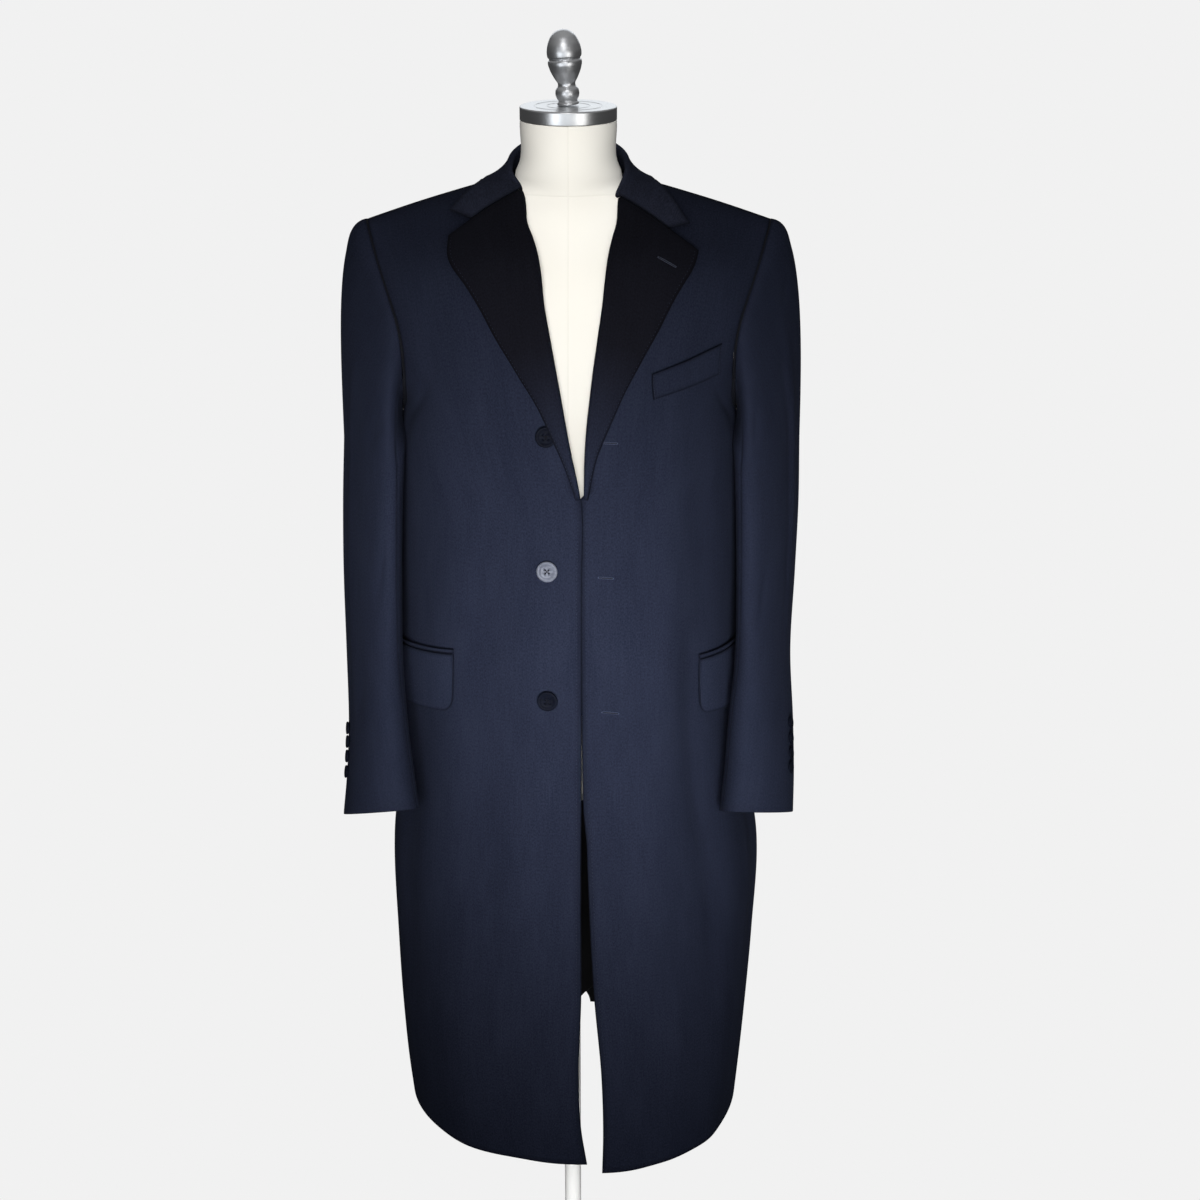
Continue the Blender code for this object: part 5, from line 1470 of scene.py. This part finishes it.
def armhole_rim(side, angle):
    """The line between the body's armhole and the sleeve's head, lower under the arm."""
    lateral, aside = np.cos(np.radians(angle)), np.abs(np.sin(np.radians(angle)))
    loop = armhole_point(angle)
    loop[:, 0] += SEAM_GAP + CLOTH_WALL * (RIM_STEP * (1 - lateral) + RIM_STEP_ASIDE * aside)
    loop[:, 2] -= RIM_DROP * np.maximum(-lateral, 0.0) ** 4
    return mirrored(loop, side), np.tile((-side * 1.0, 0.0, 0.0), (len(loop), 1))


BUTTONHOLES = {              # (across, up) of both ends
    "top":    ((0.052, 0.8587), (0.112, 0.8575)),
    "middle": ((0.054, 0.7129), (0.114, 0.7110)),
    "bottom": ((0.064, 0.5596), (0.132, 0.5571)),
    "lapel":  ((0.230, 1.0546), (0.335, 1.0484)),
}
LAPEL_HOLE_LIFT = LAPEL_REST - SHELL / 2 + 0.0012
HOLE_LIFT = SHELL / 2 + 0.0002
HOLE_HALF_WIDTH, HOLE_SQUARENESS = 0.0008, 1.4
SLIT_INSET, SLIT_WIDTH, SLIT_DEPTH = 0.0008, 0.0010, 0.0006


def build_buttonholes():
    """Worked buttonholes: thread purled round a slit, with a near-black box in each slit as
    painted shade.
    """
    ways, slits = {"body": [], "lapel": []}, bmesh.new()
    for name, ends in BUTTONHOLES.items():
        ends, kind = np.array(ends), "lapel" if name == "lapel" else "body"
        lift = HOLE_LIFT + (LAPEL_HOLE_LIFT if kind == "lapel" else 0.0)
        start, end = (on_front(LEFT, *place, lift)[0] for place in ends)
        normal = unit(on_front(LEFT, *ends.mean(0), lift + 1.0)[0]
                      - on_front(LEFT, *ends.mean(0), lift)[0])
        along, length = unit(end - start), np.linalg.norm(end - start)
        aside = np.cross(normal, along)
        ring = []
        for turn in np.linspace(0.0, 2 * math.pi, 61):
            way = np.clip(HOLE_SQUARENESS * math.cos(turn), -1, 1)
            point = ((start + end) / 2 + along * way * length / 2
                     + aside * math.sin(turn) * HOLE_HALF_WIDTH)
            place = ends[0] + (point - start) @ along / length * (ends[1] - ends[0])
            ground = on_front(LEFT, *place, lift)[0]
            ring.append(point + normal * ((ground - point) @ normal))
        ways[kind].append((np.array(ring), np.tile(normal, (len(ring), 1))))
        box = Matrix((along * (length - 2 * SLIT_INSET), aside * SLIT_WIDTH,
                      normal * SLIT_DEPTH)).transposed().to_4x4()
        bmesh.ops.create_cube(slits, size=1.0,
                              matrix=Matrix.Translation(Vector((start + end) / 2)) @ box)
    for kind, thread in (("body", HOLE_THREAD), ("lapel", LAPEL_THREAD)):
        sew(f"{kind}_buttonholes", ways[kind], thread, *PURL_STITCH, across=True)
    dress(add_piece("buttonhole_slits", mesh_of(slits, "buttonhole_slits")), None, "navy_wool",
          SLIT_SHADE)


def build_tacks():
    """Short stitches that hold the welt's two ends."""
    paths, shares = [], np.linspace(0.0, 1.0, 20)
    lift = CLOTH_WALL / 2 + LAY_GAP + TRIM_WALL + 0.0001 + WELT_CURL * shares ** 2
    for end in (0.018, 0.982):
        points, above = (welt_point(end, 0.06 + 0.88 * shares, lift + more) for more in (0.0, 1.0))
        paths.append((points, unit(above - points)))
    sew("pocket_tacks", paths, SEWING_THREAD, *TACK_STITCH)


# --------------------------------------------------------------- form and stand
def torso_ring(angles, z):
    half_width, front, back, power = spline(
        [row.z for row in TORSO],
        [(row.half_width, row.front_y, row.back_y, row.round) for row in TORSO], z)[0]
    cosine, sine = np.cos(angles), np.sin(angles)
    run = np.sign(cosine) * np.abs(cosine) ** (2 / power)
    rise = np.abs(sine) ** (2 / power)
    y = np.where(sine > 0, back * rise, front * rise)
    return np.stack((half_width * run, y, np.full_like(run, z)), axis=-1)


TORSO_SIDES = 112
TORSO_FOOT_LINES = 0.8290, 0.8292, 0.8300, 0.8320, 0.8350
TORSO_LINES = (0.84, 1.36, 48), (1.367, 1.507, 26), (1.515, 1.560, 8)
TORSO_TUCK, TUCK_SHARE = 0.006, 0.14   # the foot's edge turns in by this, of this radius


def build_torso(lining):
    foot, top = TORSO[0].z, TORSO[-1].z
    angles = 2 * math.pi * (np.arange(TORSO_SIDES) + 0.5) / TORSO_SIDES
    net = bmesh.new()
    rings = [[net.verts.new((0.0, 0.0, foot))]]
    for z in (*TORSO_FOOT_LINES, *np.concatenate([np.linspace(*run) for run in TORSO_LINES])):
        left = max(1 - (z - foot) / TORSO_TUCK, 0.0)
        ring = torso_ring(angles, z)
        ring[:, :2] *= 1 - TORSO_TUCK * (1 - math.sqrt(1 - left ** 2)) / TUCK_SHARE
        if FORM_MEETS_COAT < z < TORSO[-2].z:
            ring = kept_off(ring, lining, FORM_CLEARANCE, TORSO_CORE)
        rings.append([net.verts.new(point) for point in ring])
    rings.append([net.verts.new((0.0, 0.0, top))])
    for lower, upper in zip(rings, rings[1:]):
        bridge(net, lower, upper)
    dress(add_piece("covered_torso", mesh_of(net, "covered_torso", 60.0)), "form_torso",
          "form_cloth", JERSEY)


# Profiles are (radius, height), from the top down, each with its corners' radius.
HAIR = 0.0003                # the gap between two parts of the stand
PLATE_TOP = TORSO[0].z - HAIR
POLE_TOP, POLE_FOOT = PLATE_TOP - 0.060 - HAIR, BASE_HEIGHT + 0.015 + HAIR
CAP_PROFILE = (
    (0.0, CAP_TOP),
    *((groove + out, CAP_TOP - down) for groove in CAP_GROOVES for out, down in (
        (-0.0013, 0.0), (-0.0003, 0.0010), (0.0003, 0.0010), (0.0013, 0.0))),
    (0.0508, CAP_TOP), (CAP_RADIUS, CAP_TOP - 0.0012), (CAP_RADIUS, CAP_BOTTOM),
    (0.0, CAP_BOTTOM))
FINIAL_PROFILE = (
    (0.0, 0.0790), (0.0070, 0.0775), (0.0130, 0.0725), (0.0170, 0.0640), (0.0186, 0.0560),
    (0.0183, 0.0505), (0.0162, 0.0480), (0.0181, 0.0462), (0.0182, 0.0425), (0.0160, 0.0350),
    (0.0120, 0.0270), (0.0093, 0.0230), (0.0093, 0.0195), (0.0122, 0.0165), (0.0130, 0.0115),
    (0.0118, 0.0070), (0.0098, 0.0040), (0.0118, 0.0022), (0.0118, 0.0), (0.0, 0.0))
SOCKET_PROFILE = (
    (0.0, PLATE_TOP), (0.060, PLATE_TOP), (0.060, PLATE_TOP - 0.006), (0.018, PLATE_TOP - 0.008),
    (0.016, PLATE_TOP - 0.060), (0.0, PLATE_TOP - 0.060))
POLE_PROFILE = (0.0, POLE_TOP), (POLE_RADIUS, POLE_TOP), (POLE_RADIUS, POLE_FOOT), (0.0, POLE_FOOT)
BASE_PROFILE = (
    (0.0, BASE_HEIGHT + 0.015), (0.018, BASE_HEIGHT + 0.015), (0.026, BASE_HEIGHT + 0.004),
    (0.060, BASE_HEIGHT), (BASE_RADIUS - 0.004, BASE_HEIGHT - 0.002),
    (BASE_RADIUS, BASE_HEIGHT - 0.005), (BASE_RADIUS, 0.0), (0.0, 0.0))


def build_stand():
    lean = (Matrix.Translation((0.0, 0.0, CAP_TOP + HAIR
                                + FINIAL_PROFILE[-2][0] * math.sin(FINIAL_LEAN)))
            @ Matrix.Rotation(-FINIAL_LEAN, 4, "Y"))
    for name, node, profile, steps, finish, *more in (
            ("cap_plate", "neck_cap", rounded(CAP_PROFILE, 0.0009), 128, CAP_METAL),
            ("turned_finial", "finial", rounded(FINIAL_PROFILE, 0.0030, 5), 64, KNOB_METAL,
             50.0, lean),
            ("socket_plate", "torso_socket", rounded(SOCKET_PROFILE, 0.0012), 72, STAND_ENAMEL),
            ("steel_pole", "stand_pole", rounded(POLE_PROFILE, 0.0006), 48, STAND_ENAMEL),
            ("round_base", "stand_base", rounded(BASE_PROFILE, 0.0025), 128, STAND_ENAMEL)):
        smooth_angle, place = more or (35.0, None)
        dress(add_piece(name, lathe(name, profile, steps, smooth_angle), place), node,
              "brushed_metal", finish)


def skin(layer):
    """A search tree of the outer (0) or inner (1) faces of the coat's panels."""
    points, quads = [], []
    for name in ("right_front", "left_front", "right_back", "left_back"):
        grid = SKINS[name][layer]
        lines = [sorted({0, count - 1, *range(3, count - 3, 2)}) for count in grid.shape[:2]]
        grid = grid[np.ix_(*lines)]
        number = len(points) + np.arange(grid.shape[0] * grid.shape[1]).reshape(grid.shape[:2])
        points += grid.reshape(-1, 3).tolist()
        quads += net_quads(number).tolist()
    return BVHTree.FromPolygons(points, quads)


# ------------------------------------------------------- floor, light and camera
# The floor's glow, and the tone and reach of its painted contact shadow.
FLOOR_TONE, CONTACT_SHADOW_TONE = (0.880, 0.880, 0.880), (0.42, 0.42, 0.43)
FLOOR_RADIUS, CONTACT_SHADOW_REACH = 60.0, 0.25
FILL_LOW, FILL_HIGH = 0.06, 0.39       # the world's light from the floor and from overhead
CAMERA_PLACE, CAMERA_DOWN = (0.0338, -2.54, 1.9207), 19.61
CAMERA_LENS, CAMERA_SENSOR, CAMERA_REACH = 70.65, 36.0, 200.0
WHITE, COOL, WARM = (1.0, 1.0, 1.0), (0.92, 0.96, 1.0), (1.0, 0.993, 0.97)
AMBER = 1.0, 0.93, 0.82
CAP = 0.0, 0.0, 1.575
Lamp = namedtuple("Lamp", "name lights place aim width height watts spread tint",
                  defaults=(60, WHITE))
LAMPS = rows_of(
    Lamp,
    ("waist_right", "cloth", (-0.42, -2.20, 1.02), (-0.10, -0.17, 1.04), 0.6, 0.34, 0.80, 28),
    ("waist_left", "cloth", (0.42, -2.20, 1.02), (0.10, -0.17, 1.04), 0.6, 0.34, 0.90, 28),
    ("skirt", "cloth", (0.24, -2.20, 0.84), (0.17, -0.17, 0.80), 0.6, 0.34, 1.85, 40),
    ("shoulder", "cloth", (-0.15, -2.20, 1.60), (-0.06, -0.10, 1.40), 0.6, 0.34, 1.2, 60, AMBER),
    ("sleeve_right", "cloth", (-0.42, -2.20, 1.30), (-0.24, -0.02, 1.20), 0.3, 0.3, 0.16, 20),
    ("behind", "cloth", (0.0, 2.40, 1.05), (0.0, 0.17, 1.00), 0.9, 0.60, 8.0),
    ("neck_front", "form", (0.0, -2.20, 2.00), (0.0, -0.05, 1.32), 0.5, 0.5, 5.6, 60, WARM),
    ("stand_front", "form", (0.0, -2.20, 0.60), (0.0, 0.0, 0.20), 0.5, 0.5, 2.4, 40),
    ("form_behind", "form", (0.0, 2.40, 1.60), (0.0, 0.17, 1.30), 0.9, 0.6, 8.0),
    ("ceiling_behind", "metal", (0.0, 3.00, 2.65), CAP, 3.0, 2.1, 21.0, 180, COOL),
    ("card_right", "metal", (-1.5, -2.60, 1.17), CAP, 1.3, 1.6, 14.0, 180, COOL),
    ("card_left", "metal", (1.5, -2.60, 1.17), CAP, 1.3, 1.6, 14.0, 180, WARM),
    ("card_middle", "metal", (0.0, -3.00, 1.17), CAP, 1.6, 1.6, 8.0, 180, COOL),
    ("window", "metal", (-0.1, -2.50, 3.00), (0.0, 0.0, 1.62), 1.2, 1.2, 13.0, 180),
)


def emptied(material):
    """A bench for a material's or world's nodes, with none on it."""
    material.use_nodes = True
    material.node_tree.nodes.clear()
    return Bench(material.node_tree)


def build_floor():
    """A pale floor that glows evenly, with a painted contact shadow where ambient occlusion finds
    what stands on it.
    """
    net = bmesh.new()
    bmesh.ops.create_circle(net, cap_ends=True, segments=96, radius=FLOOR_RADIUS)
    mesh = bpy.data.meshes.new("floor")
    net.to_mesh(mesh)
    net.free()
    floor = add_piece("floor", mesh)
    paper = bpy.data.materials.new("pale_floor")
    bench = emptied(paper)
    contact_shadow = bench.add("ShaderNodeAmbientOcclusion", Distance=CONTACT_SHADOW_REACH).outputs["AO"]
    glow = bench.add("ShaderNodeEmission", bench.blend(contact_shadow, CONTACT_SHADOW_TONE, FLOOR_TONE))
    bench.add("ShaderNodeOutputMaterial", glow.outputs[0])
    floor.data.materials.append(paper)
    floor.visible_diffuse = floor.visible_glossy = False


def build_world():
    """The floor's tone to the camera, and a soft light from above to the rest."""
    world = bpy.context.scene.world = bpy.data.worlds.new("studio")
    bench = emptied(world)
    seen = bench.add("ShaderNodeBackground", (*FLOOR_TONE, 1.0)).outputs[0]
    way = bench.add("ShaderNodeTexCoord").outputs["Generated"]
    up = bench.add("ShaderNodeSeparateXYZ", way).outputs[2]
    fill = bench.add("ShaderNodeBackground",
                     Strength=bench.ramp(up, 0.0, 1.0, FILL_LOW, FILL_HIGH)).outputs[0]
    path = bench.add("ShaderNodeLightPath").outputs["Is Camera Ray"]
    blend = bench.add("ShaderNodeMixShader", path, fill, seen).outputs[0]
    bench.add("ShaderNodeOutputWorld", blend)


def hold(name, content, place):
    """Stands a lamp or a camera in the scene."""
    holder = bpy.data.objects.new(name, content)
    bpy.context.scene.collection.objects.link(holder)
    holder.location = place
    return holder


def build_stage():
    """The floor, the world, lamps for the cloth, the metal and the form, the camera."""
    build_floor()
    build_world()
    for lights in ("cloth", "metal", "form"):
        bpy.data.collections.new(f"lit_as_{lights}")
    for row in LAMPS:
        lamp = bpy.data.lights.new(row.name, "AREA")
        lamp.shape = "RECTANGLE"
        lamp.size, lamp.size_y, lamp.energy = row.width, row.height, row.watts
        lamp.spread, lamp.color = math.radians(row.spread), row.tint
        holder = hold(row.name, lamp, row.place)
        holder.rotation_euler = (Vector(row.aim) - Vector(row.place)).to_track_quat(
            "-Z", "Y").to_euler()
        holder.visible_camera = False
        holder.light_linking.receiver_collection = bpy.data.collections[f"lit_as_{row.lights}"]
    camera = bpy.data.cameras.new("camera")
    camera.sensor_width, camera.lens = CAMERA_SENSOR, CAMERA_LENS
    camera.clip_end = CAMERA_REACH
    holder = hold("camera", camera, CAMERA_PLACE)
    holder.rotation_euler = (math.radians(90.0 - CAMERA_DOWN), 0.0, 0.0)
    bpy.context.scene.camera = holder
    bpy.context.scene.view_settings.view_transform = "Standard"


# ----------------------------------------------------------------------- making
build_stage()
for hand in (RIGHT, LEFT):
    build_front(hand)
    build_back(hand)
BODY_SKIN, COAT_LINING = skin(0), skin(1)
COLLAR_GUIDES = {hand: collar_guides(hand) for hand in (RIGHT, LEFT)}
for hand in (RIGHT, LEFT):
    build_sleeve(hand)
    build_lapel(hand)
    build_flap(hand)
build_collar()
build_welt()
build_sewing(build_buttons())
build_torso(COAT_LINING)
build_stand()
for made in list(bpy.context.scene.objects):
    if made.type == "MESH" and made.name != "floor":
        first = made.data.materials[0] if made.data.materials else None
        lights = ("metal" if first in (CAP_METAL, KNOB_METAL)
                  else "form" if first in (JERSEY, STAND_ENAMEL) else "cloth")
        bpy.data.collections[f"lit_as_{lights}"].objects.link(made)
